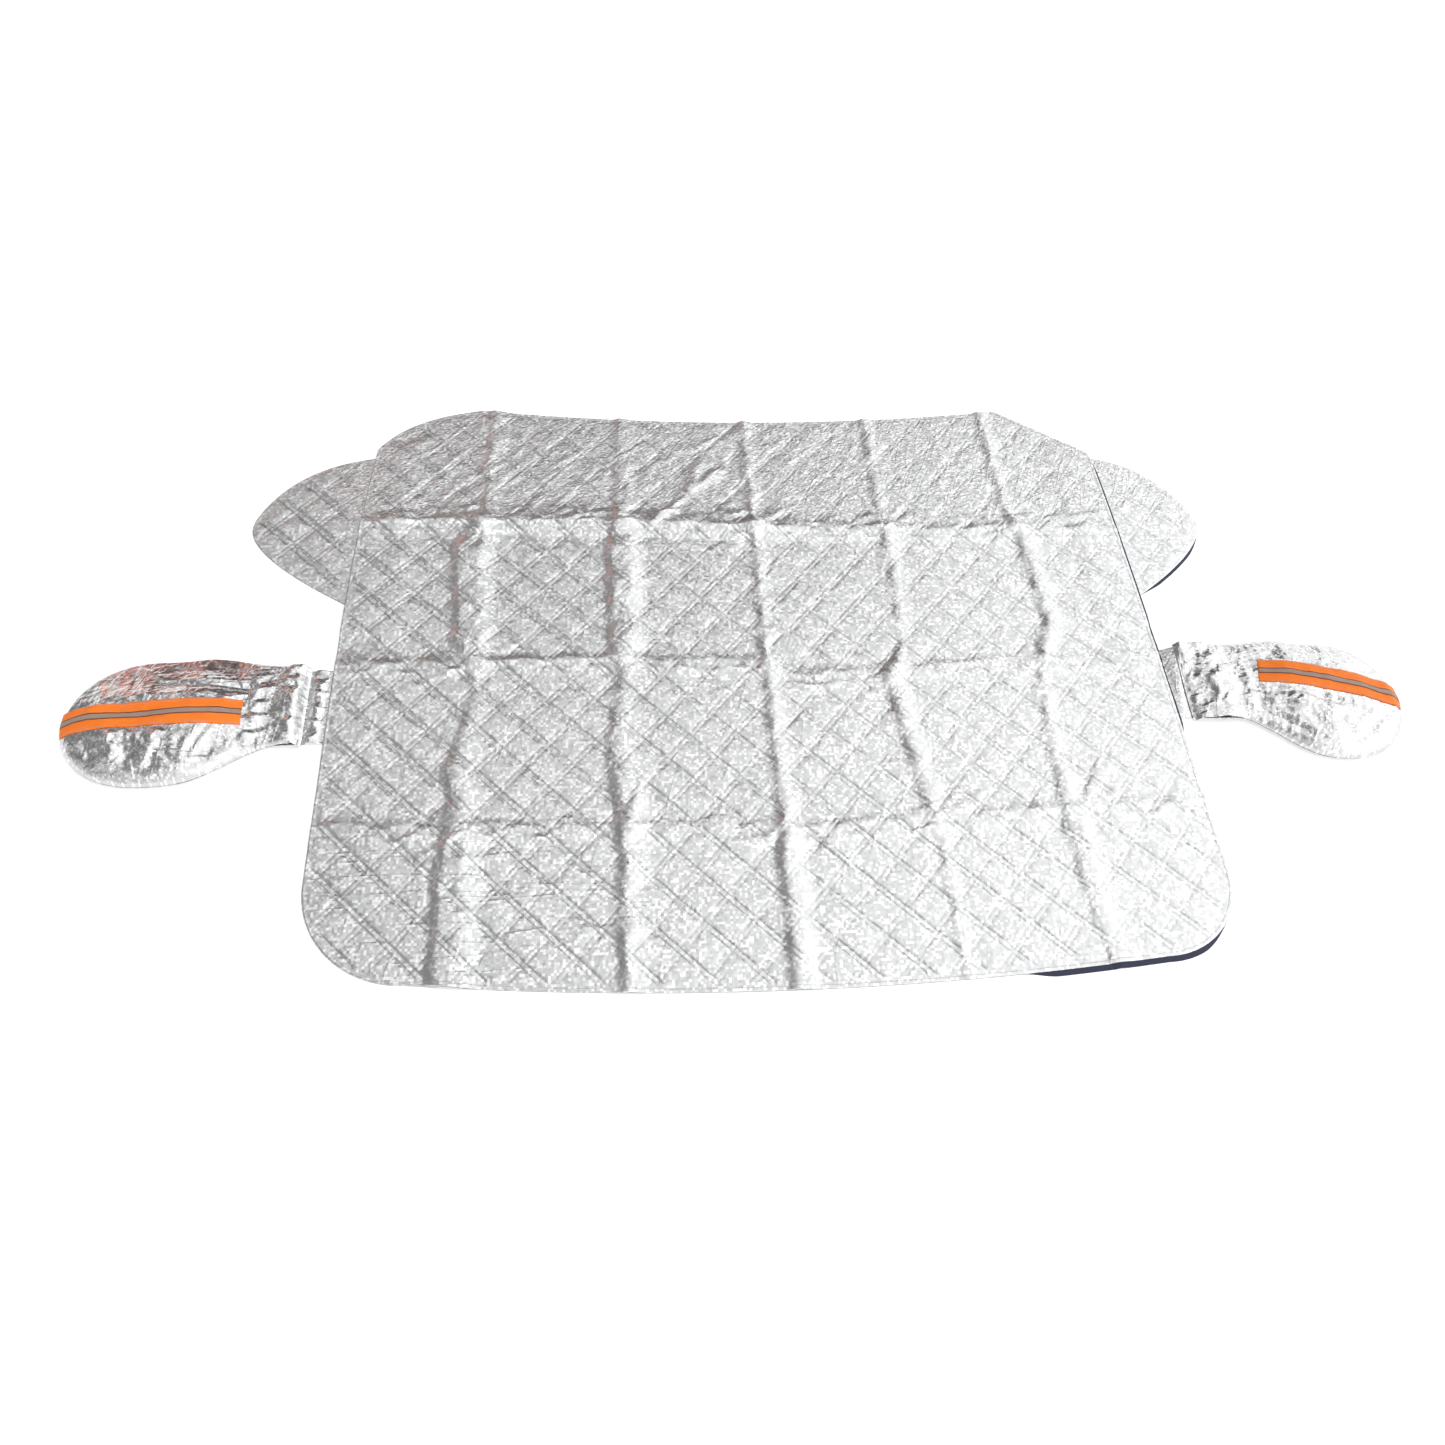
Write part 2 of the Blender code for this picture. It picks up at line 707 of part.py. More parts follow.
def pocket_edges(side):
    """The upper and lower edges of a pocket, from its mouth to its tip."""
    mouth = side["reach"] + side["strap_length"]
    length = side["pocket_length"]
    hem_share = MOUTH_HEM / length
    cap_share = POCKET_TIP_SHARE
    shares = [0.0, hem_share]
    shares += [hem_share + (cap_share - hem_share) * index / 9 for index in range(1, 10)]
    shares += [cap_share + (1 - cap_share) * math.sin(math.radians(90) * index / 7) for index in range(1, 8)]
    upper = []
    lower = []
    for share in shares:
        swell = smooth((share - hem_share) / POCKET_SWELL_SHARE)
        half = (MOUTH_WIDTH + (POCKET_WIDTH - MOUTH_WIDTH) * swell) / 2
        past = max(0.0, (share - cap_share) / (1 - cap_share))
        half *= max(0.0, 1 - past ** POCKET_TIP_SQUARENESS) ** 0.5
        x = mouth + length * share
        middle = pocket_middle(side, share)
        upper.append(Vector((x, middle + half)))
        lower.append(Vector((x, middle - half)))
    return upper, lower


def make_pocket(name, side):
    """A mirror pocket: two foil panels sewn round their edge, open at the elastic mouth."""
    turn = side["turn"]
    mouth = side["reach"] + side["strap_length"]
    length = side["pocket_length"]
    upper_edge, lower_edge = pocket_edges(side)
    seam = resample(upper_edge[1:], POCKET_STEP)[:-1] + resample(lower_edge[1:], POCKET_STEP)[::-1]
    seam = [upper_edge[0]] + seam + [lower_edge[0]]
    rows = PLEAT_COUNT * 2
    mouth_rows = [lower_edge[0].lerp(upper_edge[0], index / rows) for index in range(1, rows)]
    outline = seam + mouth_rows

    tape_y = pocket_middle(side, 1.0) + side["tape_offset"]
    tape_start = Vector((mouth + side["tape_start"], tape_y))
    tape_along = Vector((1.0, side["tape_slope"])).normalized()
    tape_across = Vector((-tape_along.y, tape_along.x))
    edges = {}
    for part, width in (("tape", TAPE_WIDTH), ("stripe", STRIPE_WIDTH)):
        for way in (-1, 1):
            corner = tape_start + tape_across * way * width / 2
            line = clipped((corner, corner + tape_along * length), outline, 0.0)
            outline = with_point(outline, line[1], CLEAR / 2)
            edges[(part, way)] = resample([corner, line[1]], POCKET_STEP)
    cap = [edges[("tape", -1)][0], edges[("stripe", -1)][0], edges[("stripe", 1)][0], edges[("tape", 1)][0]]
    lines = list(edges.values()) + [cap]

    spots = []
    for ring in PLEAT_RINGS:
        for index in range(1, rows):
            share = index / rows
            step_in = MOUTH_HEM + ring * PLEAT_LENGTH
            spread = 1 + PLEAT_SPREAD * ring * (POCKET_WIDTH / MOUTH_WIDTH - 1)
            middle = pocket_middle(side, step_in / length)
            spots.append(Vector((mouth + step_in, middle + MOUTH_WIDTH * spread * (share - 0.5))))
    first_column = mouth + MOUTH_HEM + PLEAT_RINGS[-1] * PLEAT_LENGTH + POCKET_STEP
    row_reach = math.ceil(POCKET_WIDTH / POCKET_STEP / 2)
    for column in range(math.ceil((mouth + length - first_column) / POCKET_STEP)):
        x = first_column + column * POCKET_STEP
        for row in range(-row_reach, row_reach + 1):
            spots.append(Vector((x, pocket_middle(side, (x - mouth) / length) + row * POCKET_STEP)))
    kept = []
    for spot in spots:
        near_line = min(distance_to(line, spot) for line in lines) < CLEAR
        if is_inside(outline, spot) and distance_to(outline, spot) > CLEAR and not near_line:
            kept.append(spot)
    places, faces = net(outline, lines, kept)

    def from_mouth(point):
        return point.x - mouth

    def seam_distance(point):
        return distance_to(seam, point)

    def low_bottom(point):
        past_lap = smooth((from_mouth(point) - STRAP_LAP - STRAP_MARGIN) / STRAP_RAMP)
        lap = (STRAP_THICKNESS + SEAM_GAP) * (1 - past_lap)
        rise = max(0.0, 1 - seam_distance(point) / POCKET_RIM_RISE)
        return lap + POCKET_RIM_HEIGHT * rise * rise

    def low_top(point):
        return low_bottom(point) + FOIL_THICKNESS

    def high_bottom(point):
        share = from_mouth(point) / length
        swell = smooth((share - MOUTH_HEM / length) / POCKET_SWELL_SHARE)
        height = MOUTH_HEIGHT + (POCKET_HEIGHT - MOUTH_HEIGHT) * swell
        away = seam_distance(point)
        round_share = 1 - min(1.0, away / POCKET_SHOULDER)
        dome = height * math.sqrt(1 - round_share * round_share)
        inward = max(0.0, from_mouth(point) - MOUTH_HEM)
        crease = 0.5 - 2 * abs(noise.noise(Vector((point.x, point.y, turn * length)) / CRUMPLE_SIZE))
        dome += CRUMPLE_HEIGHT * crease * smooth(inward / CRUMPLE_MARGIN) * smooth(away / CRUMPLE_MARGIN)
        spread = 1 + PLEAT_SPREAD * inward / PLEAT_LENGTH * (POCKET_WIDTH / MOUTH_WIDTH - 1)
        across = (point.y - pocket_middle(side, share)) / (MOUTH_WIDTH * spread)
        pleat = math.cos(2 * math.pi * PLEAT_COUNT * (across + 0.5))
        fade = max(0.0, 1 - inward / PLEAT_LENGTH) * smooth(away / POCKET_STEP)
        dome -= PLEAT_DEPTH * (1 + pleat) / 2 * fade
        return low_top(point) + SEAM_GAP + max(0.0, dome)

    def high_top(point):
        return high_bottom(point) + FOIL_THICKNESS

    def placed(point_faces):
        """The net on its own side of the cover, with its faces kept upward."""
        if turn > 0:
            return places, point_faces
        return mirrored, [face[::-1] for face in point_faces]

    mirrored = [Vector((-place.x, place.y)) for place in places]

    def on_side(height):
        return lambda point: height(Vector((turn * point.x, point.y)))

    whole = placed(faces)
    cloth(name + "_pocket_top", whole, on_side(high_top), whole, on_side(high_bottom), POCKET_FOIL)
    cloth(name + "_pocket_bottom", whole, on_side(low_top), whole, on_side(low_bottom), POCKET_FOIL)

    def band(width):
        chosen = []
        for face in faces:
            middle = (places[face[0]] + places[face[1]] + places[face[2]]) / 3 - tape_start
            if middle.dot(tape_along) > 0 and abs(middle.dot(tape_across)) < width / 2:
                chosen.append(face)
        used = sorted({index for face in chosen for index in face})
        number = {index: place for place, index in enumerate(used)}
        net_places, net_faces = placed([[number[index] for index in face] for face in chosen])
        return [net_places[index] for index in used], net_faces

    tape_net = band(TAPE_WIDTH)
    stripe_net = band(STRIPE_WIDTH)
    tape_low = on_side(lambda point: high_top(point) + SEAM_GAP)
    tape_high = on_side(lambda point: high_top(point) + SEAM_GAP + TAPE_THICKNESS)
    cloth(name + "_orange_tape", tape_net, tape_high, tape_net, tape_low, ORANGE)
    lift = 2 * SEAM_GAP + TAPE_THICKNESS
    stripe_low = on_side(lambda point: high_top(point) + lift)
    stripe_high = on_side(lambda point: high_top(point) + lift + STRIPE_THICKNESS)
    cloth(name + "_reflective_stripe", stripe_net, stripe_high, stripe_net, stripe_low, REFLECTIVE)

    make_elastic(name, side, mouth_rows, high_bottom, low_top)


def make_elastic(name, side, mouth_rows, ceiling, floor):
    """The elastic band, a ring sewn just inside the pocket's mouth."""
    turn = side["turn"]
    least = 4 * ELASTIC_THICKNESS
    rows = [row for row in mouth_rows if ceiling(row) - floor(row) > least + 2 * SEAM_GAP]
    outer = [Vector((row.y, ceiling(row) - SEAM_GAP)) for row in rows]
    outer += [Vector((row.y, floor(row) + SEAM_GAP)) for row in rows[::-1]]
    last = len(rows) - 1
    inner = []
    for index, row in enumerate(rows):
        aside = ELASTIC_THICKNESS * ((index == 0) - (index == last))
        inner.append(Vector((row.y + aside, ceiling(row) - SEAM_GAP - ELASTIC_THICKNESS)))
    for index, row in reversed(list(enumerate(rows))):
        aside = ELASTIC_THICKNESS * ((index == 0) - (index == last))
        inner.append(Vector((row.y + aside, floor(row) + SEAM_GAP + ELASTIC_THICKNESS)))
    start = side["reach"] + side["strap_length"] + (MOUTH_HEM - ELASTIC_WIDTH) / 2
    mesh = bmesh.new()
    rings = []
    for x in (start, start + ELASTIC_WIDTH):
        for loop in (outer, inner):
            rings.append([mesh.verts.new((turn * x, point.x, point.y)) for point in loop])
    outer_near, inner_near, outer_far, inner_far = rings
    for first, second in ((outer_near, outer_far), (outer_far, inner_far), (inner_far, inner_near),
                          (inner_near, outer_near)):
        for index in range(len(first)):
            after = (index + 1) % len(first)
            mesh.faces.new((first[index], first[after], second[after], second[index]))
    bmesh.ops.recalc_face_normals(mesh, faces=mesh.faces)
    make_object(name + "_mouth_elastic", mesh, ELASTIC)


for old in list(bpy.data.objects):
    bpy.data.objects.remove(old, do_unlink=True)

FOIL = material("quilted foil", (0.78, 0.79, 0.80), 0.38, 0.85)
POCKET_FOIL = material("pocket foil", (0.74, 0.75, 0.77), 0.32, 0.9)
LINING = material("dark lining", (0.035, 0.04, 0.065), 0.9)
ORANGE = material("orange tape", (1.0, 0.22, 0.03), 0.6)
REFLECTIVE = material("reflective stripe", (0.42, 0.36, 0.34), 0.35, 0.3)
ELASTIC = material("elastic", (0.5, 0.5, 0.52), 0.85)

FRAME = bpy.data.objects.new("cover_frame", None)
bpy.context.scene.collection.objects.link(FRAME)

FOLDS = fold_lines()
WRINKLES = wrinkles()
TUCKS = tucks()
make_panel()
for side_name, side_sizes in SIDES.items():
    make_flap(side_name, side_sizes)
    make_strap(side_name, side_sizes)
    make_pocket(side_name, side_sizes)

pieces = [item for item in bpy.data.objects if item.type == "MESH"]
corners = [vert.co for item in pieces for vert in item.data.vertices]
middle_x = (min(corner.x for corner in corners) + max(corner.x for corner in corners)) / 2
middle_y = (min(corner.y for corner in corners) + max(corner.y for corner in corners)) / 2
FRAME.location = (-middle_x, -middle_y, 0.0)
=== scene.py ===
"""Windshield frost cover, spread out flat with its door flaps and mirror pockets.

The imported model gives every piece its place. This script makes the quilted foil,
the lining, the crumpled pockets and the tapes in full detail, and lights them.
Lengths are in metres. Outlines are drawn from the crossing of the middle folds.
"""
import math
import bpy
import numpy as np
from mathutils import Matrix, Vector
from mathutils.geometry import delaunay_2d_cdt


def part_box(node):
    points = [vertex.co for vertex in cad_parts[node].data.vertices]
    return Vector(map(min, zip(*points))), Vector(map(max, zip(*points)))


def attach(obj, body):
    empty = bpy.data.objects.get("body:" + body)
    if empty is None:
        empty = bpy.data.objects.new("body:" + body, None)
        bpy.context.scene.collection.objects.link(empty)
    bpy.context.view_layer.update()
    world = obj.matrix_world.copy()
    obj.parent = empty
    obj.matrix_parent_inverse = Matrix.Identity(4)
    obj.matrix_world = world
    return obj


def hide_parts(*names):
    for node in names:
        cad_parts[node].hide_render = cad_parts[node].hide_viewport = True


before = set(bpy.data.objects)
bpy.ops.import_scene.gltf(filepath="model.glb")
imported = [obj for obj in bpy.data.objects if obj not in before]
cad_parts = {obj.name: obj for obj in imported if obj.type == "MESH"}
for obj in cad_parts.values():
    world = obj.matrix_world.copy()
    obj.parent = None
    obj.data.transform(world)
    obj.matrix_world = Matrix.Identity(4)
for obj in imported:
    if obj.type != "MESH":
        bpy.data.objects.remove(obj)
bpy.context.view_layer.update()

scene = bpy.context.scene
scene.view_settings.view_transform = "Standard"

# The crossing of the cover's middle folds
# The cover is cut round this point, where its two middle packing folds cross. The
# panel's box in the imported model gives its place.
LEFT_REACH = 0.738
RIGHT_REACH = 0.714
PANEL_TOP = 0.633
PANEL_BOTTOM = 0.592
panel_low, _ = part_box("main_panel")
zero = Vector((panel_low[0] + LEFT_REACH, panel_low[1] + PANEL_BOTTOM, 0.0))

# Camera
# The photograph looks down on the cover from its bonnet edge, a little turned. The
# camera's place and lens were fitted to the crossings of the cover's folds.
CAMERA_AIM = Vector((-0.0828, -0.1204, 0.0))
CAMERA_DISTANCE = 1.9426
CAMERA_ELEVATION = 0.996315
CAMERA_TURN = -0.152505
CAMERA_ROLL = 0.108033
PHOTO_WIDTH_PIXELS = 1445
FOCAL_PIXELS = 1150
SENSOR_WIDTH_MM = 36

camera_data = bpy.data.cameras.new("camera")
camera_data.sensor_width = SENSOR_WIDTH_MM
camera_data.lens = SENSOR_WIDTH_MM * FOCAL_PIXELS / PHOTO_WIDTH_PIXELS
camera = bpy.data.objects.new("camera", camera_data)
scene.collection.objects.link(camera)
turned = Matrix.Rotation(CAMERA_TURN, 4, "Z") @ Matrix.Rotation(math.pi / 2 - CAMERA_ELEVATION, 4, "X")
turned = turned @ Matrix.Rotation(CAMERA_ROLL, 4, "Z")
away = turned.to_3x3() @ Vector((0.0, 0.0, 1.0))
camera.matrix_world = Matrix.Translation(zero + CAMERA_AIM + away * CAMERA_DISTANCE) @ turned
scene.camera = camera

# Light
# An even studio: a soft white surround that brightens steadily to the right, dark
# boards behind the cover, to its left and above its left end, a low warm wall behind
# that end, and one wide lamp from the left for the cover's shadows.
SURROUND_TOWARDS = (0.95, -0.18, 0.25)
SURROUND_LEVEL = 0.99
SURROUND_RISE = 0.72
# Each board: the way to its middle, where it starts and is full as dot products, its shade.
BOARDS = (
    ((-0.05, 0.93, 0.36), 0.860, 0.975, 0.04),
    ((-0.75, 0.35, 0.55), 0.830, 0.950, 0.30),
    ((-0.45, -0.20, 0.87), 0.900, 0.970, 0.38),
)
WALL_TOWARDS = (-0.30, 0.94, 0.16)
WALL_START = 0.920
WALL_FULL = 0.970
WALL_COLOUR = (1.60, 0.54, 0.38, 1.0)
LAMP_STRENGTH = 0.35
LAMP_SPREAD = math.radians(40)
LAMP_SHINES = Vector((0.80, -0.25, -0.60))


def math_node(nodes, links, operation, first, second=0.0):
    """A Math node whose inputs are sockets or plain numbers. Gives its output socket."""
    node = nodes.new("ShaderNodeMath")
    node.operation = operation
    for place, value in enumerate((first, second)):
        if isinstance(value, (int, float)):
            node.inputs[place].default_value = value
        else:
            links.new(value, node.inputs[place])
    return node.outputs[0]


world = bpy.data.worlds.new("studio")
scene.world = world
world.use_nodes = True
nodes = world.node_tree.nodes
links = world.node_tree.links
direction = nodes.new("ShaderNodeTexCoord").outputs["Generated"]


def towards(way):
    """How far each direction of the surround points one way, as its dot product."""
    dot = nodes.new("ShaderNodeVectorMath")
    dot.operation = "DOT_PRODUCT"
    dot.inputs[1].default_value = way
    links.new(direction, dot.inputs[0])
    return dot.outputs["Value"]


def patch(way, rim, full, inside, outside):
    """A round patch of the surround: outside it one value, inside it another."""
    soft = nodes.new("ShaderNodeMapRange")
    soft.interpolation_type = "SMOOTHSTEP"
    soft.inputs["From Min"].default_value = rim
    soft.inputs["From Max"].default_value = full
    soft.inputs["To Min"].default_value = outside
    soft.inputs["To Max"].default_value = inside
    links.new(towards(way), soft.inputs["Value"])
    return soft.outputs[0]


brightness = math_node(nodes, links, "MULTIPLY", towards(SURROUND_TOWARDS), SURROUND_RISE)
brightness = math_node(nodes, links, "EXPONENT", brightness)
brightness = math_node(nodes, links, "MULTIPLY", brightness, SURROUND_LEVEL)
for way, board_start, board_full, shade in BOARDS:
    board = patch(way, board_start, board_full, shade, 1.0)
    brightness = math_node(nodes, links, "MULTIPLY", brightness, board)
links.new(brightness, nodes["Background"].inputs["Strength"])
surround_colour = nodes.new("ShaderNodeMix")
surround_colour.data_type = "RGBA"
surround_colour.inputs["A"].default_value = (1.0, 1.0, 1.0, 1.0)
surround_colour.inputs["B"].default_value = WALL_COLOUR
links.new(patch(WALL_TOWARDS, WALL_START, WALL_FULL, 1.0, 0.0), surround_colour.inputs["Factor"])
links.new(surround_colour.outputs["Result"], nodes["Background"].inputs["Color"])

lamp_data = bpy.data.lights.new("wide_lamp", "SUN")
lamp_data.energy = LAMP_STRENGTH
lamp_data.angle = LAMP_SPREAD
lamp = bpy.data.objects.new("wide_lamp", lamp_data)
scene.collection.objects.link(lamp)
lamp.rotation_euler = LAMP_SHINES.to_track_quat("-Z", "Y").to_euler()
lamp.visible_glossy = False

# Floor
# A plain white sheet of paper, far wider than the view. It keeps the cover's shadow,
# and is bright both to the camera and in the film's reflections.
FLOOR_REACH = 30.0
FLOOR_GLOW = 0.30


def new_material(name):
    """An empty material with its Principled shader, its nodes and its links."""
    made = bpy.data.materials.new(name)
    made.use_nodes = True
    tree = made.node_tree
    return made, tree.nodes["Principled BSDF"], tree.nodes, tree.links


floor_paper, shader, nodes, links = new_material("white_floor_paper")
shader.inputs["Base Color"].default_value = (0.9, 0.9, 0.9, 1.0)
shader.inputs["Roughness"].default_value = 0.9
shader.inputs["Emission Color"].default_value = (1.0, 1.0, 1.0, 1.0)
paths = nodes.new("ShaderNodeLightPath")
seen = math_node(nodes, links, "MAXIMUM", paths.outputs["Is Camera Ray"], paths.outputs["Is Glossy Ray"])
seen = math_node(nodes, links, "MAXIMUM", seen, paths.outputs["Is Transmission Ray"])
glow = math_node(nodes, links, "MULTIPLY", seen, FLOOR_GLOW)
links.new(glow, shader.inputs["Emission Strength"])

floor_mesh = bpy.data.meshes.new("floor")
floor_corners = [(x * FLOOR_REACH, y * FLOOR_REACH, 0) for x, y in ((-1, -1), (1, -1), (1, 1), (-1, 1))]
floor_mesh.from_pydata(floor_corners, [], [(0, 1, 2, 3)])
floor_mesh.materials.append(floor_paper)
floor = bpy.data.objects.new("floor", floor_mesh)
scene.collection.objects.link(floor)

# Foil film
# The cover's face is aluminised film with a mosaic of small squares, each of which throws
# the light its own way. Each square's colour is a random grey, and a share of the squares
# is painted bright as painted glints. The film also crinkles in small sharp facets.


def vector_node(nodes, links, operation, first, second=(0.0, 0.0, 0.0)):
    """A Vector Math node whose inputs are sockets or plain vectors. Gives its output socket."""
    node = nodes.new("ShaderNodeVectorMath")
    node.operation = operation
    for place, value in enumerate((first, second)):
        if isinstance(value, tuple):
            node.inputs[place].default_value = value
        else:
            links.new(value, node.inputs[place])
    return node.outputs[0]


def new_group(name, inputs, outputs):
    """An empty shader group with named inputs and outputs: (socket type, name, value)."""
    group = bpy.data.node_groups.new(name, "ShaderNodeTree")
    for kind, label, value in inputs:
        group.interface.new_socket(label, in_out="INPUT", socket_type=kind).default_value = value
    for kind, label in outputs:
        group.interface.new_socket(label, in_out="OUTPUT", socket_type=kind)
    entry = group.nodes.new("NodeGroupInput")
    result = group.nodes.new("NodeGroupOutput")
    return group, group.nodes, group.links, entry, result


NUMBER = "NodeSocketFloat"
VECTOR = "NodeSocketVector"
SQUARE_BLUR = 0.12
GREY_SHARE = 0.35
mosaic, nodes, links, entry, result = new_group(
    "film_mosaic",
    [(VECTOR, "Place", (0, 0, 0)), (NUMBER, "Square size", 0.004), (NUMBER, "Tilt", 0.2),
     (NUMBER, "Painted glint share", 0.3)],
    [(NUMBER, "Shade"), (VECTOR, "Normal")],
)
flat_place = vector_node(nodes, links, "MULTIPLY", entry.outputs["Place"], (1.0, 1.0, 0.0))
size_vector = nodes.new("ShaderNodeCombineXYZ")
for axis in ("X", "Y", "Z"):
    links.new(entry.outputs["Square size"], size_vector.inputs[axis])
squares = vector_node(nodes, links, "DIVIDE", flat_place, size_vector.outputs[0])
square = vector_node(nodes, links, "FLOOR", squares)
chance = nodes.new("ShaderNodeTexWhiteNoise")
links.new(square, chance.inputs["Vector"])
# A share of the squares is painted bright as glints; the others keep a random grey. The shade is the larger
# of the two.
least = math_node(nodes, links, "SUBTRACT", 1.0, entry.outputs["Painted glint share"])
painted_glint = nodes.new("ShaderNodeMapRange")
painted_glint.interpolation_type = "SMOOTHSTEP"
links.new(chance.outputs["Value"], painted_glint.inputs["Value"])
links.new(math_node(nodes, links, "SUBTRACT", least, SQUARE_BLUR), painted_glint.inputs["From Min"])
links.new(math_node(nodes, links, "ADD", least, SQUARE_BLUR), painted_glint.inputs["From Max"])
grey = math_node(nodes, links, "MULTIPLY", chance.outputs["Value"], GREY_SHARE)
shade = math_node(nodes, links, "MAXIMUM", painted_glint.outputs[0], grey)
links.new(shade, result.inputs["Shade"])
lean = vector_node(nodes, links, "SUBTRACT", chance.outputs["Color"], (0.5, 0.5, 0.5))
tilt = nodes.new("ShaderNodeCombineXYZ")
for axis in ("X", "Y", "Z"):
    links.new(entry.outputs["Tilt"], tilt.inputs[axis])
surface = nodes.new("ShaderNodeNewGeometry")
leaned = vector_node(nodes, links, "MULTIPLY", lean, tilt.outputs[0])
leaned = vector_node(nodes, links, "ADD", leaned, surface.outputs["Normal"])
links.new(vector_node(nodes, links, "NORMALIZE", leaned), result.inputs["Normal"])

# The crinkle's layers: how much finer each one is, and its share of the height.
CRINKLE_LAYERS = ((1.0, 0.55), (2.7, 0.28), (6.5, 0.12))
FACET_FINENESS = 1.6
FACET_SHARE = 0.3
crinkle, nodes, links, entry, result = new_group(
    "film_crinkle",
    [(VECTOR, "Place", (0, 0, 0)), (NUMBER, "Size", 0.02), (NUMBER, "Sharpness", 0.5)],
    [(NUMBER, "Height")],
)
per_metre = math_node(nodes, links, "DIVIDE", 1.0, entry.outputs["Size"])
heights = []
for times, share in CRINKLE_LAYERS:
    hills = nodes.new("ShaderNodeTexNoise")
    hills.inputs["Detail"].default_value = 1.0
    hills.inputs["Distortion"].default_value = 0.6
    links.new(entry.outputs["Place"], hills.inputs["Vector"])
    links.new(math_node(nodes, links, "MULTIPLY", per_metre, times), hills.inputs["Scale"])
    fold = math_node(nodes, links, "SUBTRACT", hills.outputs["Fac"], 0.5)
    fold = math_node(nodes, links, "ABSOLUTE", fold)
    heights.append(math_node(nodes, links, "MULTIPLY", fold, -share))
facets = nodes.new("ShaderNodeTexVoronoi")
links.new(entry.outputs["Place"], facets.inputs["Vector"])
links.new(math_node(nodes, links, "MULTIPLY", per_metre, FACET_FINENESS), facets.inputs["Scale"])
sharp = math_node(nodes, links, "MULTIPLY", entry.outputs["Sharpness"], FACET_SHARE)
heights.append(math_node(nodes, links, "MULTIPLY", facets.outputs["Distance"], sharp))
total = heights[0]
for height in heights[1:]:
    total = math_node(nodes, links, "ADD", total, height)
links.new(total, result.inputs["Height"])

STREAK_WIDTH = 0.07
streaks, nodes, links, entry, result = new_group(
    "film_streaks",
    [(VECTOR, "Place", (0, 0, 0)), (NUMBER, "Angle", 0.0), (NUMBER, "Length", 0.08),
     (NUMBER, "Spacing", 0.012)],
    [(NUMBER, "Height")],
)
turned_place = nodes.new("ShaderNodeVectorRotate")
turned_place.rotation_type = "Z_AXIS"
links.new(entry.outputs["Place"], turned_place.inputs["Vector"])
links.new(math_node(nodes, links, "MULTIPLY", entry.outputs["Angle"], -1.0), turned_place.inputs["Angle"])
stretch = nodes.new("ShaderNodeCombineXYZ")
links.new(entry.outputs["Length"], stretch.inputs["X"])
links.new(entry.outputs["Spacing"], stretch.inputs["Y"])
links.new(entry.outputs["Length"], stretch.inputs["Z"])
drawn = nodes.new("ShaderNodeTexNoise")
drawn.inputs["Scale"].default_value = 1.0
drawn.inputs["Detail"].default_value = 1.5
drawn.inputs["Distortion"].default_value = 0.5
drawn_place = vector_node(nodes, links, "DIVIDE", turned_place.outputs[0], stretch.outputs[0])
links.new(drawn_place, drawn.inputs["Vector"])
off = math_node(nodes, links, "ABSOLUTE", math_node(nodes, links, "SUBTRACT", drawn.outputs["Fac"], 0.5))
crest = nodes.new("ShaderNodeMapRange")
crest.inputs["From Min"].default_value = 0.0
crest.inputs["From Max"].default_value = STREAK_WIDTH
crest.inputs["To Min"].default_value = 1.0
crest.inputs["To Max"].default_value = 0.0
links.new(off, crest.inputs["Value"])
links.new(crest.outputs[0], result.inputs["Height"])

REGION_FADE = 0.08
CLOUDS_PER_METRE = 9.0
SMOOTHEST = -0.05
DULLEST = 0.07


def region(nodes, links, place, low, high):
    """A mask that fades in at the edges of a box on the cover, given in metres."""
    parts = nodes.new("ShaderNodeSeparateXYZ")
    links.new(place, parts.inputs[0])
    mask = 1.0
    for axis in (0, 1):
        for limit, sign in ((low[axis], 1.0), (high[axis], -1.0)):
            fade = nodes.new("ShaderNodeMapRange")
            fade.inputs["From Min"].default_value = zero[axis] + limit - sign * REGION_FADE / 2
            fade.inputs["From Max"].default_value = zero[axis] + limit + sign * REGION_FADE / 2
            links.new(parts.outputs[axis], fade.inputs["Value"])
            mask = math_node(nodes, links, "MULTIPLY", fade.outputs[0], mask)
    return mask


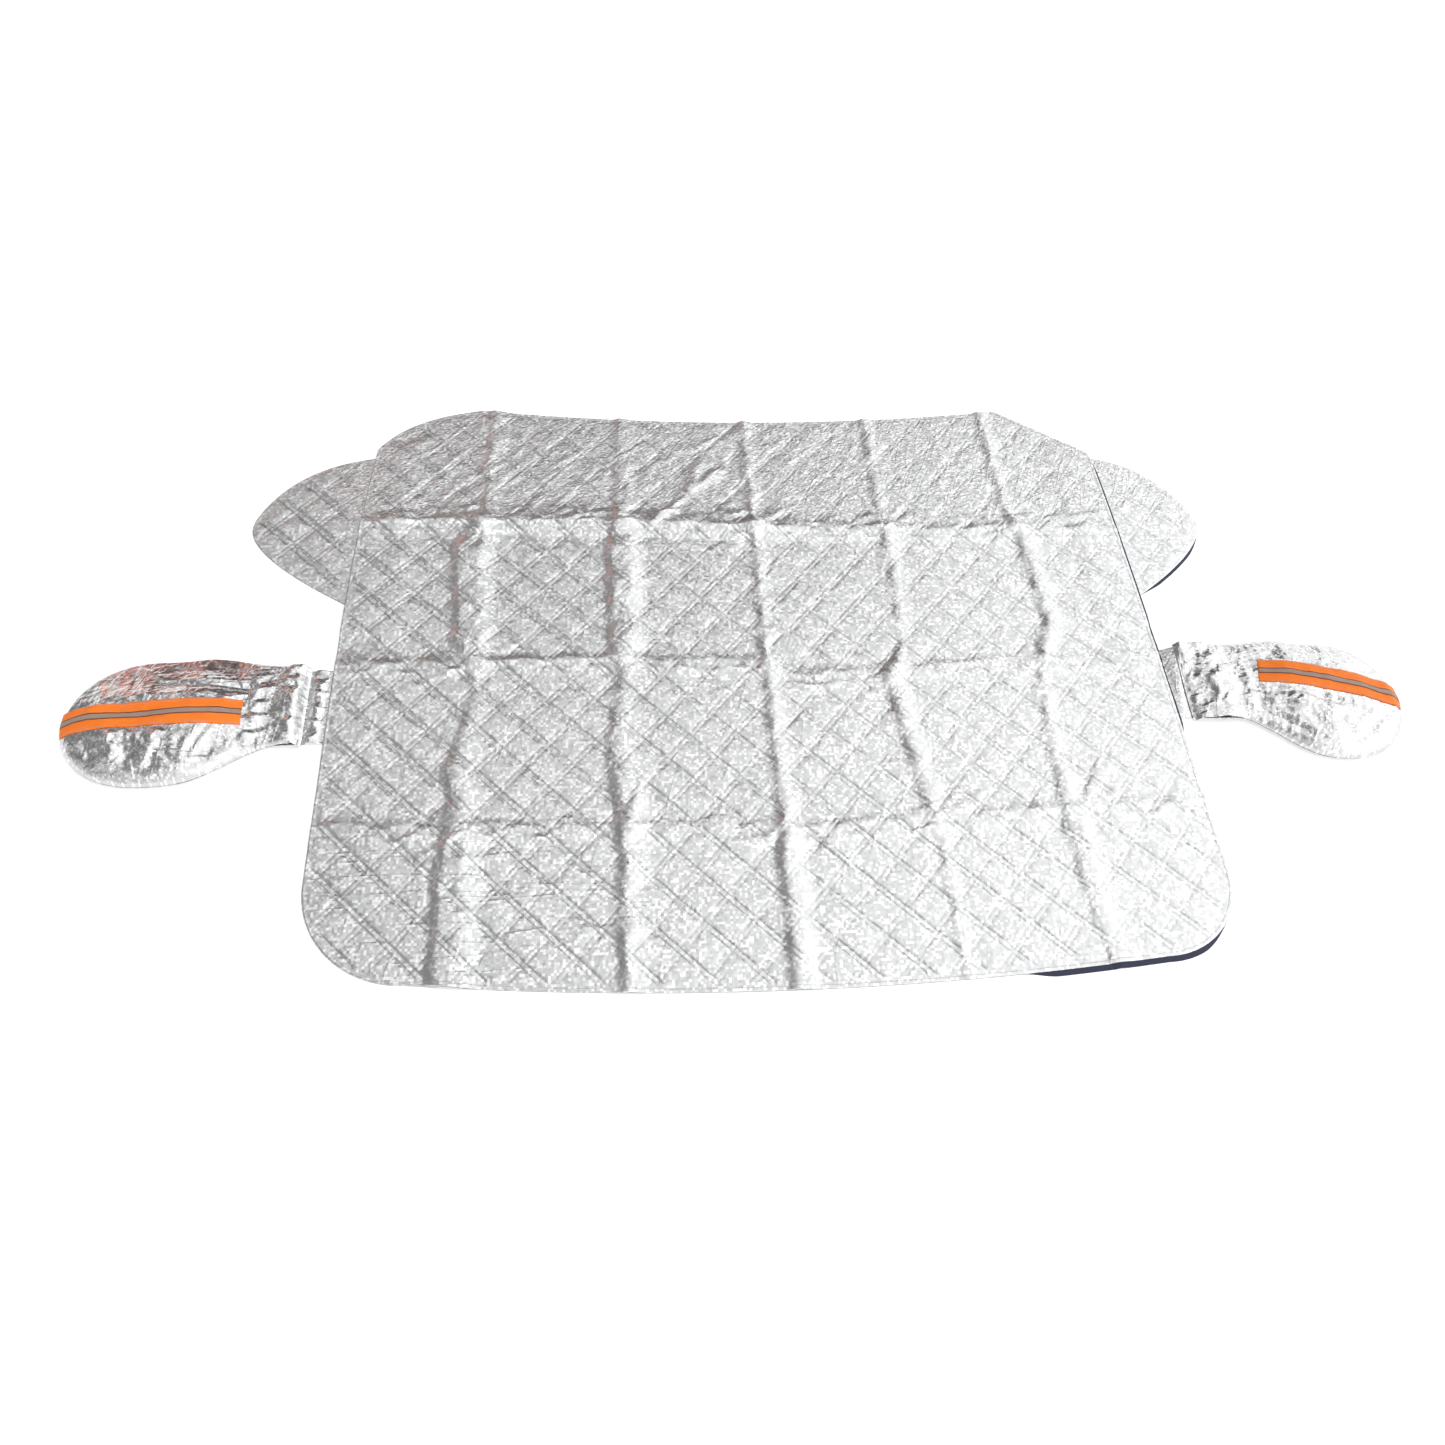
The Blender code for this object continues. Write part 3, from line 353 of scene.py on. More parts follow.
def foil_material(name, sizes):
    """Mosaic film over a crinkled surface. The sizes name the look of one sort of film."""
    made, shader, nodes, links = new_material(name)
    place = nodes.new("ShaderNodeTexCoord").outputs["Object"]
    squares = nodes.new("ShaderNodeGroup")
    squares.node_tree = mosaic
    squares.inputs["Square size"].default_value = sizes["square"]
    squares.inputs["Tilt"].default_value = sizes["tilt"]
    squares.inputs["Painted glint share"].default_value = sizes["painted_glint_share"]
    links.new(place, squares.inputs["Place"])
    folds = nodes.new("ShaderNodeGroup")
    folds.node_tree = crinkle
    folds.inputs["Size"].default_value = sizes["crinkle"]
    folds.inputs["Sharpness"].default_value = sizes["sharpness"]
    links.new(place, folds.inputs["Place"])
    # The colour runs from each square's grey to the bright colour of its painted glints.
    colour = nodes.new("ShaderNodeMix")
    colour.data_type = "RGBA"
    colour.inputs["A"].default_value = (*sizes["dark"], 1.0)
    colour.inputs["B"].default_value = (*sizes["bright"], 1.0)
    links.new(squares.outputs["Shade"], colour.inputs["Factor"])
    cloudy = nodes.new("ShaderNodeTexNoise")
    cloudy.inputs["Scale"].default_value = CLOUDS_PER_METRE
    links.new(place, cloudy.inputs["Vector"])
    dull = nodes.new("ShaderNodeMapRange")
    dull.inputs["To Min"].default_value = sizes["roughness"] + SMOOTHEST
    dull.inputs["To Max"].default_value = sizes["roughness"] + DULLEST
    links.new(cloudy.outputs["Fac"], dull.inputs["Value"])
    total = folds.outputs["Height"]
    for angle, length, spacing, depth, low, high in sizes["streaks"]:
        lines = nodes.new("ShaderNodeGroup")
        lines.node_tree = streaks
        lines.inputs["Angle"].default_value = math.radians(angle)
        lines.inputs["Length"].default_value = length
        lines.inputs["Spacing"].default_value = spacing
        links.new(place, lines.inputs["Place"])
        share = math_node(nodes, links, "MULTIPLY", region(nodes, links, place, low, high), depth)
        drawn_here = math_node(nodes, links, "MULTIPLY", lines.outputs[0], share)
        total = math_node(nodes, links, "ADD", total, drawn_here)
    bump = nodes.new("ShaderNodeBump")
    bump.inputs["Strength"].default_value = 1.0
    bump.inputs["Distance"].default_value = sizes["crinkle_depth"]
    links.new(total, bump.inputs["Height"])
    links.new(squares.outputs["Normal"], bump.inputs["Normal"])
    links.new(colour.outputs["Result"], shader.inputs["Base Color"])
    links.new(dull.outputs[0], shader.inputs["Roughness"])
    links.new(bump.outputs["Normal"], shader.inputs["Normal"])
    shader.inputs["Metallic"].default_value = sizes["metallic"]
    return made


# Each run of streaks: angle, length, spacing, depth, and the box that it keeps to.
PANEL_STREAKS = (
    (49, 0.09, 0.016, 0.20, (-0.80, 0.34), (0.25, 0.75)),
    (15, 0.03, 0.008, 0.30, (-0.80, 0.34), (0.95, 0.75)),
    (66, 0.10, 0.018, 0.25, (0.05, 0.34), (0.95, 0.75)),
    (2, 0.22, 0.026, 0.30, (-0.95, -0.70), (-0.20, -0.32)),
    (-38, 0.12, 0.034, 0.16, (-1.3, -0.70), (1.3, 0.36)),
    (70, 0.12, 0.040, 0.18, (-1.3, -0.70), (1.3, 0.36)),
)
quilted_foil = foil_material("quilted_foil", {
    "square": 0.0042, "tilt": 0.12, "painted_glint_share": 0.26, "crinkle": 0.017, "sharpness": 0.5,
    "crinkle_depth": 0.0013, "dark": (0.63, 0.635, 0.64), "bright": (0.89, 0.89, 0.89),
    "roughness": 0.33, "metallic": 0.88, "streaks": PANEL_STREAKS,
})
POCKET_STREAKS = (
    (8, 0.12, 0.030, 0.45, (-1.3, -0.7), (1.3, 0.7)),
    (75, 0.08, 0.030, 0.45, (-1.3, -0.7), (1.3, 0.7)),
)
pocket_foil = foil_material("pocket_foil", {
    "square": 0.0032, "tilt": 0.10, "painted_glint_share": 0.26, "crinkle": 0.014, "sharpness": 0.9,
    "crinkle_depth": 0.0010, "dark": (0.60, 0.60, 0.61), "bright": (0.88, 0.88, 0.88),
    "roughness": 0.22, "metallic": 0.92, "streaks": POCKET_STREAKS,
})

# Main panel
# The panel is mosaic film over wadding, welded together along pairs of lines that
# cross in a diamond pattern. It was packed folded, so five folds run down it and
# three across, with creases that fan out from where they cross.


# Every piece is cut flat from film or cloth, so each starts as a flat net of quads
# that is trimmed to its outline and edged with even rows, and is then given height.
def evenly(points, step):
    """Points about one step apart round a closed outline."""
    closed = np.vstack([points, points[:1]])
    lengths = np.concatenate([[0.0], np.cumsum(np.linalg.norm(np.diff(closed, axis=0), axis=1))])
    targets = np.linspace(0.0, lengths[-1], max(8, round(lengths[-1] / step)), endpoint=False)
    return np.stack([np.interp(targets, lengths, closed[:, k]) for k in (0, 1)], axis=1)


def drawn_in(outline, depth):
    """The outline moved inwards by a depth, point for point. It runs anticlockwise."""
    ahead = np.roll(outline, -1, axis=0) - np.roll(outline, 1, axis=0)
    inward = np.stack([-ahead[:, 1], ahead[:, 0]], axis=1)
    return outline + inward / np.linalg.norm(inward, axis=1, keepdims=True) * depth


def depth_inside(outline, points):
    """How far each point lies inside an outline, negative outside it."""
    squared = np.full(len(points), np.inf)
    inside = np.zeros(len(points), dtype=bool)
    for start, end in zip(outline, np.roll(outline, -1, axis=0)):
        along = end - start
        offset = points - start
        share = np.clip(offset @ along / (along @ along), 0.0, 1.0)
        gap = offset - share[:, None] * along
        squared = np.minimum(squared, gap[:, 0] ** 2 + gap[:, 1] ** 2)
        crosses = (start[1] > points[:, 1]) != (end[1] > points[:, 1])
        side = along[0] * offset[:, 1] - along[1] * offset[:, 0]
        inside ^= crosses & ((side > 0) == (along[1] > 0))
    return np.where(inside, 1.0, -1.0) * np.sqrt(squared)


def cut_net(outline, normals, steps, rows, margin):
    """A flat net of quads between two families of lines, trimmed to an outline.

    normals holds the direction in which each family is counted, and steps its places.
    rows holds the depths of the even rows along the edge. The outline's own points
    come first in the net's points.
    """
    count = len(outline)
    rings = [outline] + [drawn_in(outline, depth) for depth in rows]
    quads = []
    for ring in range(len(rings) - 1):
        for k in range(count):
            after = (k + 1) % count
            start = ring * count
            quads.append((start + k, start + after, start + count + after, start + count + k))
    first, second = np.meshgrid(*steps, indexing="ij")
    lattice = np.linalg.solve(np.array(normals), np.stack([first.ravel(), second.ravel()])).T
    depth = depth_inside(outline[::2], lattice).reshape(first.shape)
    good = depth > rows[-1] + margin
    cells = good[:-1, :-1] & good[1:, :-1] & good[1:, 1:] & good[:-1, 1:]
    number = np.arange(first.size).reshape(first.shape)
    corners = np.stack([number[:-1, :-1], number[1:, :-1], number[1:, 1:], number[:-1, 1:]], axis=2)[cells]
    if np.linalg.det(np.array(normals)) < 0:
        corners = corners[:, ::-1]
    edges = np.concatenate([corners[:, [k, (k + 1) % 4]] for k in range(4)])
    code = edges[:, 0] * first.size + edges[:, 1]
    rim = edges[~np.isin(code, edges[:, 1] * first.size + edges[:, 0])]
    used = np.unique(corners)
    new_number = np.full(first.size, -1)
    new_number[used] = len(rings) * count + np.arange(len(used))
    points = np.vstack(rings + [lattice[used]])
    quads += [tuple(face) for face in new_number[corners].tolist()]
    inner = list(range((len(rings) - 1) * count, len(rings) * count))
    rim = new_number[rim]
    band = inner + sorted(set(rim.ravel().tolist()))
    place = {index: spot for spot, index in enumerate(band)}
    fixed = [(k, (k + 1) % count) for k in range(count)]
    fixed += [(place[a], place[b]) for a, b in rim.tolist()]
    _, _, triangles, origins, _, _ = delaunay_2d_cdt([Vector(points[k]) for k in band], fixed, [], 0, 1e-7)
    triangles = np.array([[band[origins[k][0]] for k in face] for face in triangles])
    middles = points[triangles].mean(axis=1)
    counted = middles @ np.array(normals).T
    spot = [np.searchsorted(steps[k], counted[:, k]) - 1 for k in (0, 1)]
    spot = [np.clip(spot[k], 0, len(steps[k]) - 2) for k in (0, 1)]
    free = (depth_inside(points[inner], middles) > 0) & ~cells[spot[0], spot[1]]
    ways = points[triangles]
    turn = np.cross(ways[:, 1] - ways[:, 0], ways[:, 2] - ways[:, 0])
    triangles = np.where(turn[:, None] > 0, triangles, triangles[:, ::-1])[free]
    return points, quads + [tuple(face) for face in triangles.tolist()], count


def square_net(outline, step, rows, margin):
    """A net of even squares trimmed to an outline."""
    low = outline.min(axis=0)
    high = outline.max(axis=0)
    steps = [np.arange(low[k], high[k] + step, step) for k in (0, 1)]
    return cut_net(outline, [(1.0, 0.0), (0.0, 1.0)], steps, rows, margin)


def make_sheet(name, upper, upper_height, lower, lower_height, finish, replaced):
    """A closed sheet between an upper and a lower net that share one outline.

    The heights are one number for each point of each net.
    """
    points = np.vstack([np.column_stack([upper[0], upper_height]), np.column_stack([lower[0], lower_height])])
    points += np.array(zero)
    start = len(upper[0])
    faces = list(upper[1]) + [tuple(start + k for k in reversed(face)) for face in lower[1]]
    count = upper[2]
    for k in range(count):
        after = (k + 1) % count
        faces.append((start + k, start + after, after, k))
    mesh = bpy.data.meshes.new(name)
    mesh.from_pydata(points.tolist(), [], faces)
    mesh.shade_smooth()
    mesh.materials.append(finish)
    piece = bpy.data.objects.new(name, mesh)
    scene.collection.objects.link(piece)
    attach(piece, "root")
    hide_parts(*replaced)
    return piece


def eased(value):
    """From 0 to 1 with soft ends."""
    value = np.clip(value, 0.0, 1.0)
    return value * value * (3 - 2 * value)


def hills(x, y, size, seed):
    """Smooth random height from about -1 to 1, with hills about one size apart."""
    table = np.random.default_rng(seed).uniform(0.0, 2 * math.pi, (64, 64))
    x = x / size
    y = y / size
    column = np.floor(x).astype(int)
    row = np.floor(y).astype(int)
    across = x - column
    up = y - row

    def slope(dx, dy):
        angle = table[(column + dx) % 64, (row + dy) % 64]
        return np.cos(angle) * (across - dx) + np.sin(angle) * (up - dy)

    u = eased(across)
    v = eased(up)
    low = slope(0, 0) * (1 - u) + slope(1, 0) * u
    high = slope(0, 1) * (1 - u) + slope(1, 1) * u
    return 1.6 * (low * (1 - v) + high * v)


def creased(x, y, size, seed):
    """Facets that meet in sharp creases, from about -1 to 1."""
    bent_x = x + 0.35 * size * hills(x, y, size * 1.3, seed + 1)
    bent_y = y + 0.35 * size * hills(x, y, size * 1.3, seed + 2)
    turned_x = 0.82 * bent_x + 0.57 * bent_y
    turned_y = 0.82 * bent_y - 0.57 * bent_x
    return 1 - 2.6 * np.abs(hills(turned_x, turned_y, size, seed))


def crease_lines(x, y, lines):
    """Height of straight creases: (start x, start y, end x, end y, height, half width)."""
    total = np.zeros_like(x)
    for x0, y0, x1, y1, tall, half in lines:
        near = (x > min(x0, x1) - half) & (x < max(x0, x1) + half)
        near &= (y > min(y0, y1) - half) & (y < max(y0, y1) + half)
        span = np.array([x1 - x0, y1 - y0])
        length = np.linalg.norm(span)
        along = ((x[near] - x0) * span[0] + (y[near] - y0) * span[1]) / length ** 2
        aside = np.abs((x[near] - x0) * span[1] - (y[near] - y0) * span[0]) / length
        fade = np.sqrt(np.clip(4 * along * (1 - along), 0.0, 1.0))
        total[near] += tall * fade * np.clip(1 - aside / half, 0.0, 1.0)
    return total


LINING_THICKNESS = 0.0007
SEAM_GAP = 0.0003
LINE_THICKNESS = 0.0014
QUILT_PUFF = 0.0008
QUILT_GROOVE = 0.0007
GROOVE_PLACE = 0.0041
QUILT_WEIGHTS = (0.38, 1.45)
GROOVE_BEAD = 0.0029
GROOVE_EDGE = 0.0053
PUFF_RAMP = 0.012
HOLD_LEAST = 0.35
HOLD_BY_WEIGHT = 0.5
RISING_ANGLE = math.radians(49.0)
RISING_PITCH = 0.0565
RISING_SHIFT = 0.010
FALLING_ANGLE = math.radians(135.0)
FALLING_PITCH = 0.0575
FALLING_SHIFT = 0.034
# The net's places on each side of a quilting line: the groove's own, then three between.
BESIDE_LINE = (GROOVE_BEAD, GROOVE_PLACE, GROOVE_EDGE, 0.0105, 0.0165, 0.0235)
QUILT_STEPS = [-step for step in reversed(BESIDE_LINE)] + list(BESIDE_LINE)
EDGE_ROWS = (0.0008, 0.0022, 0.0042, 0.0058, 0.0078)
FOLD_LEFT_WIDTH = 0.008
FOLD_LEFT_SPREAD = 0.55
FOLD_RIGHT_WIDTHS = (0.040, 0.038, 0.028, 0.026, 0.028)
FOLD_SHARPNESS = 1.45
FOLD_LIFT = 0.85
FOLD_EASING = 0.020
# How the folds wander, swell and flare along their length: by how much, over what length.
FOLD_WANDER = (0.0035, 0.045)
FOLD_SWELL = (0.45, 0.070)
FOLD_FLARE = (0.8, 0.085)
# Each fold's places: distance up the panel, middle of the crest, height, width of the crest.
FOLDS_DOWN = (
    ((0.64, -0.495, 0.0060, 0.0), (0.36, -0.500, 0.0050, 0.0), (0.27, -0.528, 0.0100, 0.034),
     (0.06, -0.518, 0.0095, 0.026), (0.0, -0.505, 0.0030, 0.0), (-0.06, -0.500, 0.0025, 0.0),
     (-0.20, -0.524, 0.0065, 0.012), (-0.29, -0.516, 0.0060, 0.012), (-0.40, -0.518, 0.0085, 0.032),
     (-0.60, -0.516, 0.0085, 0.026)),
    ((0.64, -0.250, 0.0045, 0.0), (0.36, -0.250, 0.0045, 0.0), (0.27, -0.252, 0.0115, 0.026),
     (0.05, -0.250, 0.0100, 0.022), (-0.02, -0.250, 0.0040, 0.0), (-0.16, -0.262, 0.0055, 0.014),
     (-0.28, -0.250, 0.0080, 0.016), (-0.36, -0.250, 0.0085, 0.004), (-0.60, -0.252, 0.0085, 0.0)),
    ((0.64, 0.000, 0.0075, 0.0), (0.34, 0.002, 0.0060, 0.0), (0.04, 0.000, 0.0050, 0.0),
     (-0.03, 0.002, 0.0070, 0.0), (-0.28, 0.004, 0.0065, 0.0), (-0.36, 0.006, 0.0085, 0.012),
     (-0.60, 0.004, 0.0080, 0.012)),
    ((0.64, 0.250, 0.0065, 0.0), (0.34, 0.250, 0.0045, 0.0), (0.25, 0.256, 0.0060, 0.006),
     (0.04, 0.250, 0.0030, 0.0), (-0.03, 0.216, 0.0070, 0.010), (-0.26, 0.244, 0.0070, 0.010),
     (-0.34, 0.254, 0.0030, 0.0), (-0.60, 0.256, 0.0030, 0.0)),
    ((0.64, 0.492, 0.0070, 0.0), (0.34, 0.500, 0.0050, 0.0), (0.28, 0.520, 0.0075, 0.008),
     (0.08, 0.528, 0.0065, 0.006), (-0.03, 0.490, 0.0035, 0.0), (-0.20, 0.474, 0.0060, 0.0),
     (-0.36, 0.480, 0.0055, 0.020), (-0.60, 0.492, 0.0050, 0.010)),
)
CROSS_FOLD_WIDTH = 0.010
CROSS_FOLD_TWIN = 0.018
CROSS_FOLD_TWIN_SHARE = 0.7
CROSS_FOLD_SHARPNESS = 1.2
CROSS_FOLD_WANDER = (0.003, 0.06)
CROSS_FOLD_SWELL = (0.5, 0.08)
# Each fold's places: distance across the panel, crest, height, width of the back flank.
FOLDS_ACROSS = (
    ((-0.74, 0.330, 0.0045, 0.030), (-0.50, 0.330, 0.0065, 0.044), (-0.25, 0.324, 0.0070, 0.046),
     (0.02, 0.312, 0.0060, 0.040), (0.20, 0.304, 0.0035, 0.022), (0.72, 0.300, 0.0030, 0.014)),
    ((-0.74, 0.008, 0.0022, 0.012), (-0.25, 0.012, 0.0030, 0.014), (0.02, 0.000, 0.0032, 0.014),
     (0.06, -0.036, 0.0036, 0.014), (0.30, -0.012, 0.0028, 0.014), (0.72, 0.004, 0.0024, 0.012)),
    ((-0.74, -0.306, 0.0024, 0.012), (-0.25, -0.314, 0.0028, 0.014), (0.02, -0.330, 0.0034, 0.016),
     (0.30, -0.312, 0.0034, 0.016), (0.72, -0.294, 0.0030, 0.016)),
)

TOP_EDGE_SAG = 0.033
BOTTOM_EDGE_BOW = 0.030
FLAP_TOP = 0.505
FLAP_BOTTOM = 0.100
FLAP_TUCK = 0.050
STRAP_WIDTH = 0.146
STRAP_TUCK = 0.040
STRAP_THICKNESS = 0.0012
TUCK_MARGIN = 0.014
TUCK_RAMP = 0.035
FACE_TOP = LINING_THICKNESS + SEAM_GAP + LINE_THICKNESS
# Both sides were cut to one pattern, but each lies in its own way. The last values are
# shares: how far the strap is heaped up in a ridge and pressed flat beside it, and how
# far the pocket's film has sunk above its tape.
SIDES = {
    "left": {
        "turn": -1, "reach": LEFT_REACH, "lean": 0.024, "corner": 0.165,
        "shoulder_width": 0.194, "shoulder_drop": 0.112, "shoulder_roundness": 0.55,
        "flap_reach": 0.211, "flap_lining_show": 0.0, "mouth_y": -0.075,
        "strap_length": 0.052, "pocket_length": 0.361, "pocket_drop": 0.030,
        "ruffle": 0.018, "tape_start": 0.076, "tape_offset": 0.005, "tape_slope": -0.057,
        "small_creases": 46, "seed": 60, "ridge": 0.0, "flattened": 0.0, "slumped": 0.9,
    },
    "right": {
        "turn": 1, "reach": RIGHT_REACH, "lean": 0.010, "corner": 0.140,
        "shoulder_width": 0.174, "shoulder_drop": 0.124, "shoulder_roundness": 0.05,
        "flap_reach": 0.178, "flap_lining_show": 0.005, "mouth_y": -0.060,
        "strap_length": 0.088, "pocket_length": 0.314, "pocket_drop": 0.045,
        "ruffle": 0.064, "tape_start": 0.068, "tape_offset": 0.0525, "tape_slope": -0.26,
        "small_creases": 12, "seed": 80, "ridge": 1.0, "flattened": 0.95, "slumped": 0.4,
    },
}


def panel_side(side):
    """Half of the panel's edge, from the middle of its top to the middle of its bottom."""
    reach = side["reach"]
    lean = side["lean"]
    corner = side["corner"]
    roundness = side["shoulder_roundness"]
    side_top = np.array([reach - lean, PANEL_TOP - side["shoulder_drop"]])
    shoulder = np.array([side_top[0] - side["shoulder_width"], PANEL_TOP])
    corner_square = np.array([side_top[0], shoulder[1]])
    pull = (side_top + shoulder) / 2 * (1 - roundness) + corner_square * roundness
    low_y = BOTTOM_EDGE_BOW - PANEL_BOTTOM
    share = np.linspace(0, 1, 24, endpoint=False)[:, None]
    x = shoulder[0] * share
    top = np.hstack([x, PANEL_TOP - TOP_EDGE_SAG * (1 - share ** 2)])
    bend = (1 - share) ** 2 * shoulder + 2 * share * (1 - share) * pull + share ** 2 * side_top
    height = low_y + corner + (side_top[1] - low_y - corner) * (1 - share)
    upright = np.hstack([reach - lean * (1 - share) ** 4, height])
    angle = share * math.pi / 2
    turn = np.hstack([reach - corner + corner * np.cos(angle), low_y + corner - corner * np.sin(angle)])
    back = 1 - share
    low = np.hstack([(reach - corner) * back, low_y - BOTTOM_EDGE_BOW * (1 - back ** 2)])
    return np.vstack([top, bend, upright, turn, low])


def quilt_normals(rising, falling):
    """The directions in which the two families of quilting lines are counted."""
    return [(-math.sin(angle), math.cos(angle)) for angle in (rising, falling)]


def quilt_steps(outline, normals, families):
    """The net's places across each family of quilting lines: close at a line, wide between."""
    steps = []
    for normal, (pitch, shift) in zip(normals, families):
        counted = outline @ np.array(normal)
        first = math.floor((counted.min() - shift) / pitch)
        last = math.ceil((counted.max() - shift) / pitch)
        lines = shift + pitch * np.arange(first, last + 1)
        steps.append((lines[:, None] + np.array(QUILT_STEPS)).ravel())
    return steps


def quilting(points, normals, families, weights):
    """Height of quilted film above its welded lines, with the pair of grooves at each line."""
    puff = np.full(len(points), QUILT_PUFF)
    groove = np.zeros(len(points))
    for normal, (pitch, shift), weight in zip(normals, families, weights):
        held = min(1.0, HOLD_LEAST + HOLD_BY_WEIGHT * weight)
        counted = points @ np.array(normal) - shift
        off = np.abs((counted + pitch / 2) % pitch - pitch / 2)
        puff *= 1 - held * (1 - np.clip((off - GROOVE_PLACE) / PUFF_RAMP, 0.0, 1.0)) ** 2
        line = np.interp(off, [0.0, GROOVE_BEAD, GROOVE_PLACE, GROOVE_EDGE], [0.0, 0.0, -1.0, 0.0])
        groove = np.minimum(groove, line * QUILT_GROOVE * weight)
    return puff + groove


def varied(along, change, seed):
    """A number that changes along a fold: (by how much, over what length)."""
    amount, length = change
    return amount * hills(along * 0, along, length, seed)


def panel_folds(x, y):
    """Height of the packing folds: a steep left flank and a long right one on each."""
    total = np.zeros_like(x)
    for number, knots in enumerate(FOLDS_DOWN):
        place, crest, tall, crown = np.array(knots)[::-1].T
        uneven = FOLD_LIFT * (1 + varied(y, FOLD_SWELL, 40 + number))
        off = x - np.interp(y, place, crest) - varied(y, FOLD_WANDER, 20 + number)
        half_crown = np.interp(y, place, crown) / 2
        soft = np.clip(2 * half_crown / FOLD_EASING, 0.0, 1.0)
        left_width = FOLD_LEFT_WIDTH + FOLD_LEFT_SPREAD * np.interp(y, place, tall)
        left_width = left_width * (1 + np.maximum(0.0, varied(y, FOLD_FLARE, 70 + number)))
        up_left = 1 + (off + half_crown) / left_width
        up_right = 1 - (off - half_crown) / FOLD_RIGHT_WIDTHS[number]
        flanks = 1.0
        for climb in (up_left, up_right):
            climb = np.clip(climb, 0.0, 1.0)
            flanks = flanks * (climb ** FOLD_SHARPNESS * (1 - soft) + eased(climb) * soft)
        total += uneven * np.interp(y, place, tall) * flanks
    for number, knots in enumerate(FOLDS_ACROSS):
        place, crest, tall, back = np.array(knots).T
        wander, wander_length = CROSS_FOLD_WANDER
        swell, swell_length = CROSS_FOLD_SWELL
        off = y - np.interp(x, place, crest) - wander * hills(x, x * 0, wander_length, 30 + number)
        high = np.interp(x, place, tall) * (1 + swell * hills(x, x * 0, swell_length, 60 + number))
        behind = np.interp(x, place, back)
        for shift, share in ((0.0, 1.0), (CROSS_FOLD_TWIN, CROSS_FOLD_TWIN_SHARE)):
            flank = np.where(off + shift < 0, CROSS_FOLD_WIDTH, behind)
            climb = np.clip(1 - np.abs(off + shift) / flank, 0.0, 1.0)
            total += share * high * climb ** CROSS_FOLD_SHARPNESS
    return total


def lifted(x, y):
    """How far the panel is lifted by the flaps and straps that are sewn under its sides."""
    lift = np.zeros_like(x)
    for side in SIDES.values():
        half = STRAP_WIDTH / 2
        tucks = (
            (FLAP_BOTTOM, FLAP_TOP, side["reach"] - side["lean"] - FLAP_TUCK, FACE_TOP + SEAM_GAP),
            (side["mouth_y"] - half, side["mouth_y"] + half, side["reach"] - STRAP_TUCK,
             STRAP_THICKNESS + SEAM_GAP),
        )
        for low, high, inner, tall in tucks:
            inwards = 1 + (side["turn"] * x - inner + TUCK_MARGIN) / TUCK_RAMP
            below = 1 + (y - low + TUCK_MARGIN) / TUCK_RAMP
            above = 1 + (high + TUCK_MARGIN - y) / TUCK_RAMP
            share = np.minimum(inwards, np.minimum(below, above))
            lift = np.maximum(lift, tall * eased(share))
    return lift


def crease_through(x, y, way, start, end, tall, half):
    """A straight crease on the line through a point, from start to end along its way."""
    across = math.cos(way)
    up = math.sin(way)
    return (x + start * across, y + start * up, x + end * across, y + end * up, tall, half)


# Each scatter of small creases: count, ranges across and up the panel, angle and its
# spread in degrees, and the ranges of length, height and half width.
SCATTERED_CREASES = (
    (150, (-0.66, 0.02), (0.35, 0.60), 46, 14, (0.03, 0.12), (0.0008, 0.0020), (0.004, 0.008)),
    (100, (0.02, 0.62), (0.35, 0.60), 52, 16, (0.03, 0.11), (0.0006, 0.0016), (0.004, 0.008)),
    (60, (-0.72, -0.28), (-0.50, -0.33), 3, 9, (0.04, 0.15), (0.0005, 0.0012), (0.004, 0.007)),
    (90, (-0.72, 0.70), (0.02, 0.30), 60, 40, (0.03, 0.10), (0.0004, 0.0011), (0.004, 0.008)),
    (90, (-0.72, 0.70), (-0.30, -0.02), 40, 50, (0.03, 0.10), (0.0004, 0.0010), (0.004, 0.008)),
    (80, (-0.25, 0.70), (-0.56, -0.33), 45, 50, (0.03, 0.10), (0.0004, 0.0010), (0.004, 0.008)),
)
# The creases gathered along each fold across: start above its crest, count, angle.
GATHERED_CREASES = ((0.000, 190, 12), (-0.030, 80, -8), (-0.025, 70, 4))
GATHER_SPREAD = 14
GATHER_DEPTH = 0.042
GATHER_FROM_TO = (-0.70, 0.68)
GATHER_REACH = (0.015, 0.05)
GATHER_HEIGHT = (0.0010, 0.0030)
GATHER_HALF_WIDTH = (0.0035, 0.006)
# The creases that fan out where folds cross.
FAN_COUNT = 8
FAN_START = (0.0, 0.012)
FAN_REACH = (0.045, 0.13)
FAN_HEIGHT = (0.0010, 0.0026)
FAN_HALF_WIDTH = (0.006, 0.012)
# The few long sharp creases that stand out one by one.
LONG_CREASES = (
    (-0.20, 0.31, -0.12, 0.40), (-0.12, 0.40, -0.05, 0.47), (-0.12, 0.40, -0.09, 0.49),
    (0.01, 0.08, 0.08, 0.0), (0.06, -0.35, 0.11, -0.39),
)
LONG_CREASE_HEIGHT = 0.0060
LONG_CREASE_HALF_WIDTH = 0.014
FOLD_SPACING = 0.25


